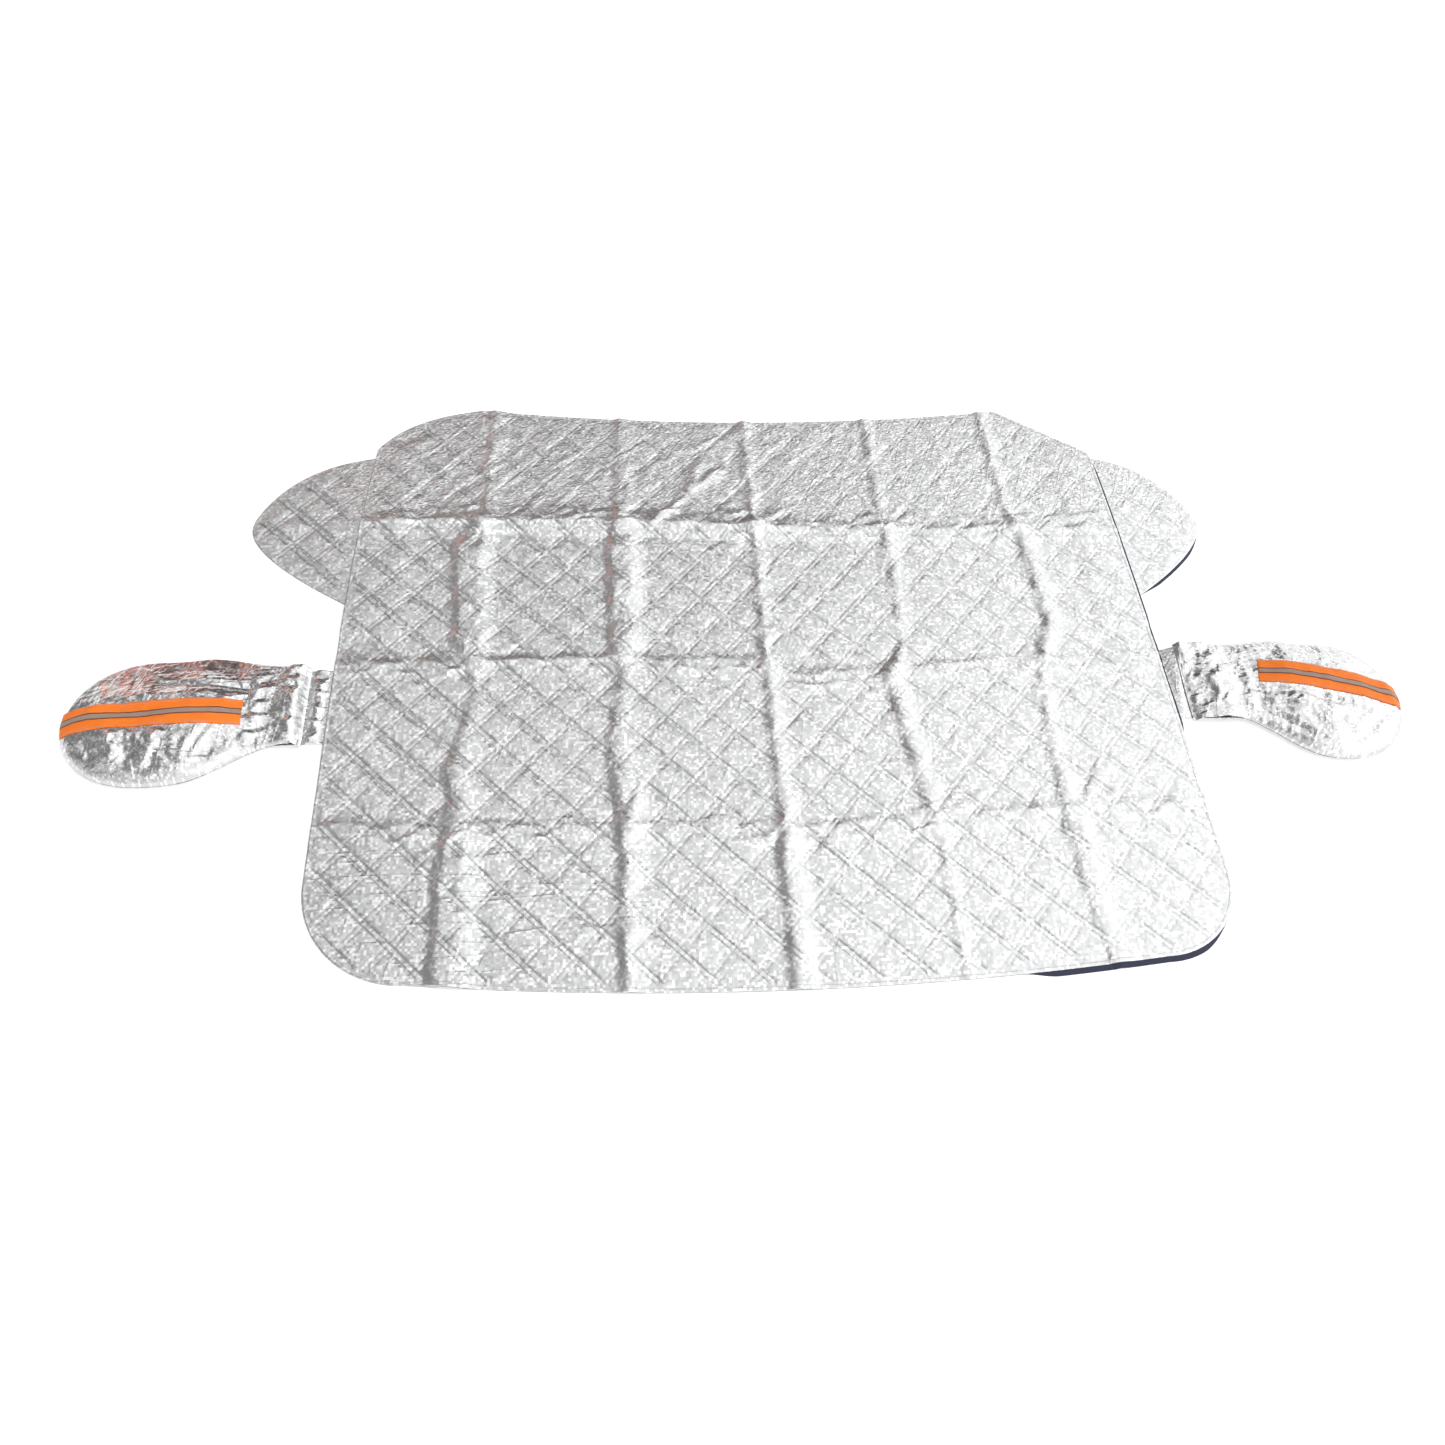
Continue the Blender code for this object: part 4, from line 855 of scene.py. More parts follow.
def panel_creases():
    """The creases of the panel, drawn from a fixed seed in the runs that the folds leave."""
    chance = np.random.default_rng(11)
    lines = []
    for count, x_range, y_range, angle, spread, length, tall, half in SCATTERED_CREASES:
        for _ in range(count):
            x = chance.uniform(*x_range)
            y = chance.uniform(*y_range)
            way = math.radians(chance.normal(angle, spread))
            reach = chance.uniform(*length) / 2
            side = chance.choice((-1.0, 1.0, 1.0))
            lines.append(crease_through(x, y, way, -reach, reach, side * chance.uniform(*tall),
                                        chance.uniform(*half)))
    for across, (rise_from, count, angle) in zip(FOLDS_ACROSS, GATHERED_CREASES):
        place, crest, _, _ = np.array(across).T
        for _ in range(count):
            x = chance.uniform(*GATHER_FROM_TO)
            y = float(np.interp(x, place, crest)) + rise_from + chance.uniform(0.0, GATHER_DEPTH)
            way = math.radians(chance.normal(angle, GATHER_SPREAD))
            reach = chance.uniform(*GATHER_REACH)
            tall = chance.uniform(*GATHER_HEIGHT)
            half = chance.uniform(*GATHER_HALF_WIDTH)
            lines.append(crease_through(x, y, way, -reach, reach, tall, half))
    for column in range(len(FOLDS_DOWN)):
        for across in FOLDS_ACROSS:
            place, crest, _, _ = np.array(across).T
            x = (column - 2) * FOLD_SPACING
            y = float(np.interp(x, place, crest))
            for _ in range(FAN_COUNT):
                way = chance.uniform(0, 2 * math.pi)
                reach = chance.uniform(*FAN_REACH)
                start = chance.uniform(*FAN_START)
                tall = chance.uniform(*FAN_HEIGHT)
                half = chance.uniform(*FAN_HALF_WIDTH)
                lines.append(crease_through(x, y, way, start, reach, tall, half))
    for ends in LONG_CREASES:
        lines.append((*ends, LONG_CREASE_HEIGHT, LONG_CREASE_HALF_WIDTH))
    return lines


PANEL_CREASES = panel_creases()


def panel_under(points):
    """Height of the panel's underside, which rests on the lining."""
    x, y = points.T
    return panel_folds(x, y) + lifted(x, y)


EDGE_SHARE = 0.45
EDGE_ROUNDING = 0.0024
LEAST_THICKNESS = 0.0005
HEM_HEIGHT = 0.0004
HEM_PLACE = 0.0030
HEM_HALF_WIDTH = 0.0028
HEM_END = 0.0058
RELIEF_RAMP = 0.012
SWELL_HEIGHT = 0.0006
SWELL_SIZE = 0.075
FINE_CREASE_HEIGHT = 0.00035
FINE_CREASE_SIZE = 0.034


def pressed(depth):
    """Thickness of the film and wadding where they are pressed flat, rounded at the edge."""
    edge = np.sqrt(1 - (1 - np.clip(depth / EDGE_ROUNDING, 0.0, 1.0)) ** 2)
    return LINE_THICKNESS * (EDGE_SHARE + (1 - EDGE_SHARE) * edge)


def panel_top(points, depth, under):
    """Height of the film's face, with the bead of its hem along the edge."""
    x, y = points.T
    relief = quilting(points, quilt_way, quilt_families, QUILT_WEIGHTS)
    swell = SWELL_HEIGHT * hills(x, y, SWELL_SIZE, 3)
    relief += swell + FINE_CREASE_HEIGHT * creased(x, y, FINE_CREASE_SIZE, 5)
    relief += crease_lines(x, y, PANEL_CREASES)
    inner = eased((depth - HEM_END) / RELIEF_RAMP)
    hem = HEM_HEIGHT * np.clip(1 - np.abs(depth - HEM_PLACE) / HEM_HALF_WIDTH, 0.0, 1.0)
    thick = pressed(depth) + hem + relief * inner
    return under + LINING_THICKNESS + SEAM_GAP + np.maximum(thick, LEAST_THICKNESS)


EDGE_STEP = 0.0062
NET_MARGIN = 0.002
BACK_STEP = 0.016
BACK_EDGE_ROW = 0.006
LINING_CLEARANCE = 0.011
left_half = panel_side(SIDES["left"]) * (-1, 1)
right_half = panel_side(SIDES["right"])
panel_outline = evenly(np.vstack([left_half, right_half[::-1][:-1]]), EDGE_STEP)
quilt_way = quilt_normals(RISING_ANGLE, FALLING_ANGLE)
quilt_families = ((RISING_PITCH, RISING_SHIFT), (FALLING_PITCH, FALLING_SHIFT))
face_steps = quilt_steps(panel_outline, quilt_way, quilt_families)
face_net = cut_net(panel_outline, quilt_way, face_steps, EDGE_ROWS, NET_MARGIN)
back_net = square_net(panel_outline, BACK_STEP, (BACK_EDGE_ROW,), BACK_EDGE_ROW)
face_under = panel_under(face_net[0])
face_depth = depth_inside(panel_outline[::2], face_net[0])
around = LINING_CLEARANCE * np.array([(0, 0), (1, 0), (-1, 0), (0, 1), (0, -1)])
back_under = np.min([panel_under(back_net[0] + shift) for shift in around], axis=0)
main_face = make_sheet(
    "quilted_main_panel", face_net, panel_top(face_net[0], face_depth, face_under),
    back_net, back_under + LINING_THICKNESS + SEAM_GAP, quilted_foil, ["main_panel"])

# Main lining
# A matt navy non-woven cloth is sewn under the whole panel. It reaches about 9 mm past
# the face along the lower right edge, so a narrow dark strip of it shows there. Above the
# right flap it also reaches a few millimetres past the panel's right edge, a dark strip
# that is painted shadow of the raised edge.
lining_cloth, shader, nodes, links = new_material("navy_lining")
place = nodes.new("ShaderNodeTexCoord").outputs["Object"]
fibres = nodes.new("ShaderNodeTexNoise")
fibres.inputs["Scale"].default_value = 900.0
fibres.inputs["Detail"].default_value = 4.0
links.new(place, fibres.inputs["Vector"])
navy = nodes.new("ShaderNodeMix")
navy.data_type = "RGBA"
navy.inputs["A"].default_value = (0.018, 0.020, 0.040, 1.0)
navy.inputs["B"].default_value = (0.060, 0.066, 0.105, 1.0)
links.new(fibres.outputs["Fac"], navy.inputs["Factor"])
links.new(navy.outputs["Result"], shader.inputs["Base Color"])
fuzz = nodes.new("ShaderNodeBump")
fuzz.inputs["Distance"].default_value = 0.0004
links.new(fibres.outputs["Fac"], fuzz.inputs["Height"])
links.new(fuzz.outputs["Normal"], shader.inputs["Normal"])
shader.inputs["Roughness"].default_value = 0.92

LINING_SHOW = 0.009
LINING_SHOW_START = 0.34
LINING_SHOW_END_MARGIN = 0.02
LINING_SHOW_RAMP = 0.06
# The strip along the right edge above the right flap is painted shadow: dark lining pushed out past the face.
SIDE_SHADOW_STRIP = 0.0035
SIDE_SHADOW_STRIP_BOTTOM = -0.17
SIDE_SHADOW_STRIP_BOTTOM_RAMP = 0.03
SIDE_SHADOW_STRIP_TOP = 0.50
SIDE_SHADOW_STRIP_TOP_RAMP = 0.05
SIDE_SHADOW_STRIP_INNER = 0.5
edge_x, edge_y = panel_outline.T
along = eased((edge_x - LINING_SHOW_START) / LINING_SHOW_RAMP)
along = along * eased((RIGHT_REACH - LINING_SHOW_END_MARGIN - edge_x) / LINING_SHOW_RAMP)
along = np.where(edge_y < 0, along, 0.0)
# Along the right edge above the right flap, the lining is pushed out into a dark strip of painted shadow.
beside = eased((edge_y - SIDE_SHADOW_STRIP_BOTTOM) / SIDE_SHADOW_STRIP_BOTTOM_RAMP)
beside = beside * eased((SIDE_SHADOW_STRIP_TOP - edge_y) / SIDE_SHADOW_STRIP_TOP_RAMP)
beside = np.where(edge_x > SIDE_SHADOW_STRIP_INNER, beside, 0.0)
lining_outline = panel_outline + np.column_stack([SIDE_SHADOW_STRIP * beside, -LINING_SHOW * along])
lining_net = (np.vstack([lining_outline, back_net[0][len(lining_outline):]]), back_net[1], back_net[2])
main_lining = make_sheet(
    "main_lining_cloth", lining_net, back_under + LINING_THICKNESS,
    lining_net, back_under, lining_cloth, ["main_lining"])

# Door flaps
# Each flap is a rounded triangle of the same quilted film and lining, sewn under the
# panel's side, which shuts in the door.
FLAP_TIP = 0.322
FLAP_TOP_PULL = 0.055
FLAP_TOP_DROOP = 0.008
FLAP_TIP_PULL = 0.085
FLAP_TIP_LEAN = 0.012
FLAP_CORNER_ROUNDS = 80
FLAP_CORNER_STEP = 0.003
FLAP_EDGE_STEP = 0.006
FLAP_QUILT_SHIFT = 0.02
FLAP_BACK_STEP = 0.02
FLAP_SEAM_MARGIN = 0.004
FLAP_SEAM_RAMP = 0.02
FLAP_CREASE_HEIGHT = 0.0005
FLAP_CREASE_SIZE = 0.03
FLAP_SWELL_HEIGHT = 0.0005
FLAP_SWELL_SIZE = 0.06
FLAP_DEEPEST = -0.0008
FLAP_SHOW_TOP = 0.30
FLAP_SHOW_TOP_RAMP = 0.06
FLAP_SHOW_SIDE_RAMP = 0.05


def softened(outline, rounds):
    """A closed outline with its corners worn round."""
    for _ in range(rounds):
        outline = (np.roll(outline, 1, axis=0) + 2 * outline + np.roll(outline, -1, axis=0)) / 4
    return outline


for name, side in SIDES.items():
    edge = side["reach"] - side["lean"]
    root = edge - FLAP_TUCK
    tip = edge + side["flap_reach"]
    share = np.linspace(0, 1, 40)[:, None]
    top = np.array([root, FLAP_TOP])
    top_pull = np.array([tip - FLAP_TOP_PULL, FLAP_TOP - FLAP_TOP_DROOP])
    tip_point = np.array([tip, FLAP_TIP])
    low_pull = np.array([tip - FLAP_TIP_LEAN, FLAP_TIP - FLAP_TIP_PULL])
    low = np.array([root, FLAP_BOTTOM])
    upper = (1 - share) ** 2 * top + 2 * share * (1 - share) * top_pull + share ** 2 * tip_point
    lower = (1 - share) ** 2 * tip_point + 2 * share * (1 - share) * low_pull + share ** 2 * low
    outline = np.vstack([upper, lower[1:]]) * (side["turn"], 1)
    if side["turn"] > 0:
        outline = outline[::-1]
    outline = softened(evenly(outline, FLAP_CORNER_STEP), FLAP_CORNER_ROUNDS)
    outline = evenly(outline, FLAP_EDGE_STEP)
    families = [(pitch, shift + FLAP_QUILT_SHIFT) for pitch, shift in quilt_families]
    steps = quilt_steps(outline, quilt_way, families)
    net = cut_net(outline, quilt_way, steps, EDGE_ROWS, NET_MARGIN)
    flap_back = square_net(outline, FLAP_BACK_STEP, (BACK_EDGE_ROW,), BACK_EDGE_ROW)
    x, y = net[0].T
    depth = depth_inside(outline, net[0])
    outside = eased((side["turn"] * x - side["reach"] - FLAP_SEAM_MARGIN) / FLAP_SEAM_RAMP)
    relief = quilting(net[0], quilt_way, families, QUILT_WEIGHTS)
    creasing = FLAP_CREASE_HEIGHT * creased(x, y, FLAP_CREASE_SIZE, 41)
    relief += creasing + FLAP_SWELL_HEIGHT * hills(x, y, FLAP_SWELL_SIZE, 42)
    free = outside * eased((depth - FLAP_SEAM_MARGIN) / RELIEF_RAMP)
    thick = pressed(depth) + np.maximum(relief, FLAP_DEEPEST) * free
    height = LINING_THICKNESS + SEAM_GAP + np.maximum(thick, LEAST_THICKNESS)
    flat = np.zeros(len(flap_back[0]))
    flap = make_sheet(name + "_quilted_door_flap", net, height, flap_back, flat + LINING_THICKNESS + SEAM_GAP,
                      quilted_foil, [name + "_door_flap"])
    lower_edge = eased((FLAP_SHOW_TOP - outline[:, 1]) / FLAP_SHOW_TOP_RAMP)
    lower_edge = lower_edge * eased((side["turn"] * outline[:, 0] - side["reach"]) / FLAP_SHOW_SIDE_RAMP)
    shown = side["flap_lining_show"] * lower_edge
    cloth_outline = outline + np.column_stack([0.5 * side["turn"] * shown, -shown])
    cloth_net = (np.vstack([cloth_outline, flap_back[0][len(outline):]]), flap_back[1], flap_back[2])
    flap_lining = make_sheet(name + "_flap_lining_cloth", cloth_net, flat + LINING_THICKNESS, cloth_net, flat,
                             lining_cloth, [name + "_flap_lining"])
    size = np.ptp(outline, axis=0)

# Neck straps
# A short gathered length of plain film joins each pocket to the panel. It is sewn
# under the panel's side and into the pocket's mouth, and it creases along its length.
STRAP_LAP = 0.026
STRAP_STEP = 0.003
STRAP_EDGE_ROW = 0.0015
STRAP_NET_MARGIN = 0.001
STRAP_SEAM_MARGIN = 0.004
STRAP_MOUTH_MARGIN = 0.002
STRAP_RAMP = 0.012
STRAP_PLEATS = 5
STRAP_PLEAT_HEIGHT = 0.0034
STRAP_PLEAT_WANDER = 2.5
# The creases over the strap's pleats: height, size, seed.
STRAP_CREASES = ((0.0022, 0.034, 52), (0.0009, 0.012, 53))
RIDGE_HEIGHT = 0.015
RIDGE_NEAREST = 0.006
RIDGE_SLANT = 0.026
RIDGE_FALL = 0.030


def strap_ridge(side, x, y):
    """Height of the fold that the right strap is heaped into beside the panel's edge."""
    reached = np.clip((y - side["mouth_y"]) / STRAP_WIDTH + 0.5, 0.0, 1.0)
    ridge = RIDGE_NEAREST + RIDGE_SLANT * reached
    past = side["turn"] * x - side["reach"]
    climb = np.clip(past / ridge, 0.0, 1.0) * np.clip(1 - (past - ridge) / RIDGE_FALL, 0.0, 1.0)
    return side["ridge"] * climb * reached


for name, side in SIDES.items():
    inner = side["reach"] - STRAP_TUCK
    outer = side["reach"] + side["strap_length"] + STRAP_LAP
    low = side["mouth_y"] - STRAP_WIDTH / 2
    high = side["mouth_y"] + STRAP_WIDTH / 2
    outline = np.array([(inner, low), (outer, low), (outer, high), (inner, high)]) * (side["turn"], 1)
    if side["turn"] < 0:
        outline = outline[::-1]
    outline = evenly(outline, STRAP_STEP)
    net = square_net(outline, STRAP_STEP, (STRAP_EDGE_ROW,), STRAP_NET_MARGIN)
    x, y = net[0].T
    along = side["turn"] * x
    edge = side["reach"] + STRAP_SEAM_MARGIN
    mouth = side["reach"] + side["strap_length"] - side["ruffle"] - STRAP_MOUTH_MARGIN
    shown = eased((along - edge) / STRAP_RAMP) * eased((mouth - along) / STRAP_RAMP)
    wander = STRAP_PLEAT_WANDER * hills(x, y, 0.05, 51)
    waves = 0.5 + 0.5 * np.sin((y - low) / STRAP_WIDTH * STRAP_PLEATS * 2 * math.pi + wander)
    bottom = STRAP_PLEAT_HEIGHT * waves
    for tall, size, seed in STRAP_CREASES:
        bottom = bottom + tall * (1 + creased(x, y, size, seed))
    bottom = shown * bottom
    bottom = bottom * (1 - side["flattened"]) + RIDGE_HEIGHT * strap_ridge(side, x, y)
    strap = make_sheet(name + "_crumpled_neck_strap", net, bottom + STRAP_THICKNESS, net, bottom,
                       pocket_foil, [name + "_neck_strap"])

# Mirror pockets
# Each pocket is two panels of plain film sewn round their edge and gathered on an
# elastic at the mouth. It is slipped over a door mirror, and lies crumpled.
POCKET_WIDTH = 0.240
POCKET_HEIGHT = 0.040
POCKET_SHOULDER = 0.085
# Shares of a pocket's length: where it is fully swelled, and where its tip starts.
POCKET_SWELL_SHARE = 0.42
POCKET_TIP_SHARE = 0.60
POCKET_TIP_SQUARENESS = 2.3
POCKET_RIM_HEIGHT = 0.007
POCKET_RIM_RISE = 0.045
MOUTH_WIDTH = 0.156
MOUTH_HEIGHT = 0.020
MOUTH_HEM = 0.014
RUFFLE_END = 0.0018
PLEAT_COUNT = 7
PLEAT_DEPTH = 0.0013
PLEAT_LENGTH = 0.080
PLEAT_SPREAD = 0.9
PLEAT_SEAM_RAMP = 0.020
FOIL_THICKNESS = 0.0010
STRAP_LAP_MARGIN = 0.006
STRAP_LAP_RAMP = 0.030
# The crumples of the film: height and size.
LARGE_CRUMPLES = (0.0024, 0.070)
MIDDLE_CRUMPLES = (0.0011, 0.030)
FINE_CRUMPLES = (0.0006, 0.013)
FREE_FROM_MOUTH = 0.040
FREE_FROM_SEAM = 0.030
FINE_FROM_SEAM = 0.012
# Shares of each that are lost where the film has sunk, and under the sewn tape.
LOST_TO_SLUMP = 0.45
CREASES_PRESSED = 0.7
MIDDLE_PRESSED = 0.5
FINE_PRESSED = 0.9
RUFFLE_CRUMPLES = ((0.0024, 0.036), (0.0010, 0.015))
RUFFLE_PLEAT_HEIGHT = 0.0010
RUFFLE_RAMP = 0.014
RUFFLE_REACH = 0.030
TAPE_WIDTH = 0.048
TAPE_RAMP = 0.012
# The creases of each pocket that stand out: both ends, height and half width.
POCKET_CREASES = {
    "left": (
        (-1.010, -0.044, -0.845, -0.048, -0.0065, 0.012), (-1.030, -0.024, -0.850, -0.036, 0.0040, 0.016),
        (-1.005, -0.163, -0.890, -0.178, -0.0045, 0.010), (-1.101, -0.140, -1.092, -0.070, 0.0045, 0.013),
        (-1.010, -0.060, -0.996, -0.140, -0.0030, 0.012), (-1.128, -0.012, -1.082, -0.075, 0.0065, 0.016),
        (-1.060, -0.130, -1.048, -0.205, 0.0060, 0.022), (-1.100, -0.150, -1.075, -0.200, -0.0050, 0.018),
        (-0.985, -0.135, -1.010, -0.200, 0.0050, 0.018), (-1.060, 0.010, -0.985, -0.040, 0.0045, 0.018),
        (-0.880, -0.070, -0.800, -0.035, 0.0040, 0.014), (-0.875, -0.105, -0.795, -0.085, -0.0040, 0.012),
        (-0.870, -0.145, -0.800, -0.125, 0.0035, 0.012), (-0.850, -0.010, -0.845, -0.150, 0.0035, 0.014),
        (-0.822, 0.000, -0.826, -0.160, -0.0035, 0.010),
    ),
    "right": (
        (0.815, -0.082, 0.935, -0.104, -0.0060, 0.012), (0.925, -0.100, 1.050, -0.160, -0.0060, 0.012),
        (0.900, -0.120, 0.985, -0.150, 0.0040, 0.020), (0.830, -0.132, 0.920, -0.192, -0.0045, 0.009),
        (0.870, -0.140, 0.950, -0.206, -0.0045, 0.009), (0.984, -0.050, 0.974, -0.135, 0.0040, 0.011),
        (0.945, -0.020, 1.018, -0.088, -0.0035, 0.010), (0.946, -0.045, 0.925, -0.108, -0.0030, 0.014),
        (0.990, -0.150, 1.020, -0.215, 0.0040, 0.016), (1.000, -0.200, 1.070, -0.150, -0.0035, 0.012),
        (0.860, -0.010, 1.060, -0.045, 0.0035, 0.018), (0.850, -0.020, 0.842, -0.140, 0.0030, 0.014),
    ),
}


def pocket_middle(side, share):
    """Y of a pocket's middle line, a share of the way from its mouth to its tip."""
    return side["mouth_y"] - side["pocket_drop"] * eased(share / POCKET_TIP_SHARE)


def pocket_outline(side, ruffle=0.0):
    """A pocket's edge, on its own side of the cover, anticlockwise.

    The ruffle is the length of film that hangs out past the mouth.
    """
    mouth = side["reach"] + side["strap_length"]
    length = side["pocket_length"]
    hem = MOUTH_HEM / length
    tip = 1 - POCKET_TIP_SHARE
    share = np.concatenate([np.linspace(-ruffle / length, POCKET_TIP_SHARE, 60, endpoint=False),
                            POCKET_TIP_SHARE + tip * np.sin(np.linspace(0, math.pi / 2, 60))])
    half = (MOUTH_WIDTH + (POCKET_WIDTH - MOUTH_WIDTH) * eased((share - hem) / POCKET_SWELL_SHARE)) / 2
    past = np.clip((share - POCKET_TIP_SHARE) / tip, 0.0, 1.0)
    half = half * np.sqrt(np.clip(1 - past ** POCKET_TIP_SQUARENESS, 0.0, 1.0))
    x = mouth + length * share
    middle = pocket_middle(side, share)
    edge = np.vstack([np.column_stack([x, middle - half]), np.column_stack([x, middle + half])[::-1][1:]])
    edge = edge * (side["turn"], 1)
    return edge if side["turn"] > 0 else edge[::-1]


def tape_way(side):
    """Where a tape starts, and its directions along and across, on the right-hand pattern."""
    start = np.array([side["reach"] + side["strap_length"] + side["tape_start"],
                      pocket_middle(side, 1.0) + side["tape_offset"]])
    along = np.array([1.0, side["tape_slope"]])
    along /= np.linalg.norm(along)
    return start, along, np.array([-along[1], along[0]])


def seam_distance(points, seam):
    """Distance from each point to the sewn seam, an open path."""
    squared = np.full(len(points), np.inf)
    for start, end in zip(seam, seam[1:]):
        span = end - start
        offset = points - start
        share = np.clip(offset @ span / (span @ span), 0.0, 1.0)
        gap = offset - share[:, None] * span
        squared = np.minimum(squared, gap[:, 0] ** 2 + gap[:, 1] ** 2)
    return np.sqrt(squared)


def crumpled(x, y, crumples, seed):
    """Creased height of one layer of crumples: (height, size)."""
    height, size = crumples
    return height * creased(x, y, size, seed)


def pocket_heights(side, points, seam):
    """The upper face of the lower panel and the lower face of the upper one."""
    x = side["turn"] * points[:, 0]
    y = points[:, 1]
    mouth = side["reach"] + side["strap_length"]
    length = side["pocket_length"]
    inward = x - mouth
    share = inward / length
    away = seam_distance(points, seam)
    lap = (STRAP_THICKNESS + SEAM_GAP) * (1 - eased((inward - STRAP_LAP - STRAP_LAP_MARGIN) / STRAP_LAP_RAMP))
    rise = np.clip(1 - away / POCKET_RIM_RISE, 0.0, 1.0)
    low = lap + POCKET_RIM_HEIGHT * rise ** 2 + FOIL_THICKNESS
    swell = eased((share - MOUTH_HEM / length) / POCKET_SWELL_SHARE)
    height = MOUTH_HEIGHT + (POCKET_HEIGHT - MOUTH_HEIGHT) * swell
    round_share = 1 - np.minimum(1.0, away / POCKET_SHOULDER)
    seed = side["seed"]
    start, along, across = tape_way(side)
    offset = np.column_stack([x, y]) - start
    slump = side["slumped"] * eased((offset @ across - TAPE_WIDTH / 2) / TAPE_RAMP + 0.3)
    slump = slump * eased(offset @ along / 0.05 + 0.5)
    dome = height * (np.sqrt(1 - round_share ** 2) * (1 - slump) + (1 - round_share) * slump)
    beside = np.abs(offset @ across) - TAPE_WIDTH / 2
    on_tape = eased(1 - np.maximum(beside, -(offset @ along)) / TAPE_RAMP)
    inwards = np.maximum(0.0, inward - MOUTH_HEM)
    free = eased(inwards / FREE_FROM_MOUTH) * eased(away / FREE_FROM_SEAM) * (1 - LOST_TO_SLUMP * slump)
    near_seam = eased(away / FINE_FROM_SEAM)
    dome = dome + free * crumpled(x, y, LARGE_CRUMPLES, seed)
    dome = dome + free * crease_lines(side["turn"] * x, y, side["creases"]) * (1 - CREASES_PRESSED * on_tape)
    dome = dome + free * crumpled(x, y, MIDDLE_CRUMPLES, seed + 3) * (1 - MIDDLE_PRESSED * on_tape)
    dome = dome + near_seam * crumpled(x, y, FINE_CRUMPLES, seed + 6) * (1 - FINE_PRESSED * on_tape)
    spread = 1 + PLEAT_SPREAD * inwards / PLEAT_LENGTH * (POCKET_WIDTH / MOUTH_WIDTH - 1)
    round_mouth = (y - pocket_middle(side, share)) / (MOUTH_WIDTH * spread) + 0.5
    pleat = 1 + np.cos(2 * math.pi * PLEAT_COUNT * round_mouth)
    fade = np.clip(1 - inwards / PLEAT_LENGTH, 0.0, 1.0) * eased(away / PLEAT_SEAM_RAMP)
    dome = dome - PLEAT_DEPTH * pleat / 2 * fade
    high = low + SEAM_GAP + np.maximum(dome, 0.0)
    slack = eased(-inward / side["ruffle"])
    crumple = 0.0
    for number, (tall, size) in zip((9, 12), RUFFLE_CRUMPLES):
        crumple = crumple + tall * (1 + creased(x, y, size, seed + number))
    crumple = np.maximum(crumple, 0.0)
    high = high + crumple * eased((RUFFLE_REACH - inward) / RUFFLE_REACH)
    loose = eased((inward + side["ruffle"]) / RUFFLE_RAMP)
    heaped = RIDGE_HEIGHT * strap_ridge(side, side["turn"] * x, y)
    hang = RUFFLE_END + loose * (RUFFLE_PLEAT_HEIGHT * pleat + crumple) + heaped
    return low, high * (1 - slack) + hang * slack


# The small creases are drawn at random over each pocket.
SMALL_CREASE_START = 0.03
SMALL_CREASE_Y = (-0.22, 0.02)
SMALL_CREASE_REACH = (0.018, 0.050)
SMALL_CREASE_HEIGHT = 0.0030
SMALL_CREASE_HALF_WIDTH = (0.006, 0.014)
POCKET_EDGE_STEP = 0.0028
POCKET_STEP = 0.0026
POCKET_EDGE_ROW = 0.0012
POCKET_NET_MARGIN = 0.0008
for name, side in SIDES.items():
    side["creases"] = list(POCKET_CREASES[name])
    chance = np.random.default_rng(90 + side["turn"])
    mouth = side["reach"] + side["strap_length"]
    for _ in range(side["small_creases"]):
        x = side["turn"] * (mouth + chance.uniform(SMALL_CREASE_START, side["pocket_length"]))
        y = chance.uniform(*SMALL_CREASE_Y)
        way = chance.uniform(0, math.pi)
        reach = chance.uniform(*SMALL_CREASE_REACH)
        tall = chance.uniform(-SMALL_CREASE_HEIGHT, SMALL_CREASE_HEIGHT)
        half = chance.uniform(*SMALL_CREASE_HALF_WIDTH)
        side["creases"].append(crease_through(x, y, way, -reach, reach, tall, half))
    cut = pocket_outline(side)
    outline = evenly(cut, POCKET_EDGE_STEP)
    seam = cut[::2] if side["turn"] > 0 else cut[::-1][::2]
    side["pocket_edge"] = outline
    side["seam"] = seam
    net = square_net(outline, POCKET_STEP, (POCKET_EDGE_ROW,), POCKET_NET_MARGIN)
    low, _ = pocket_heights(side, net[0], seam)
    top_outline = evenly(pocket_outline(side, side["ruffle"]), POCKET_EDGE_STEP)
    top_net = square_net(top_outline, POCKET_STEP, (POCKET_EDGE_ROW,), POCKET_NET_MARGIN)
    _, high = pocket_heights(side, top_net[0], seam)
    top = make_sheet(name + "_pocket_upper_film", top_net, high + FOIL_THICKNESS, top_net, high,
                     pocket_foil, [name + "_pocket_top"])
    bottom = make_sheet(name + "_pocket_lower_film", net, low, net, low - FOIL_THICKNESS,
                        pocket_foil, [name + "_pocket_bottom"])
    size = np.ptp(outline, axis=0)

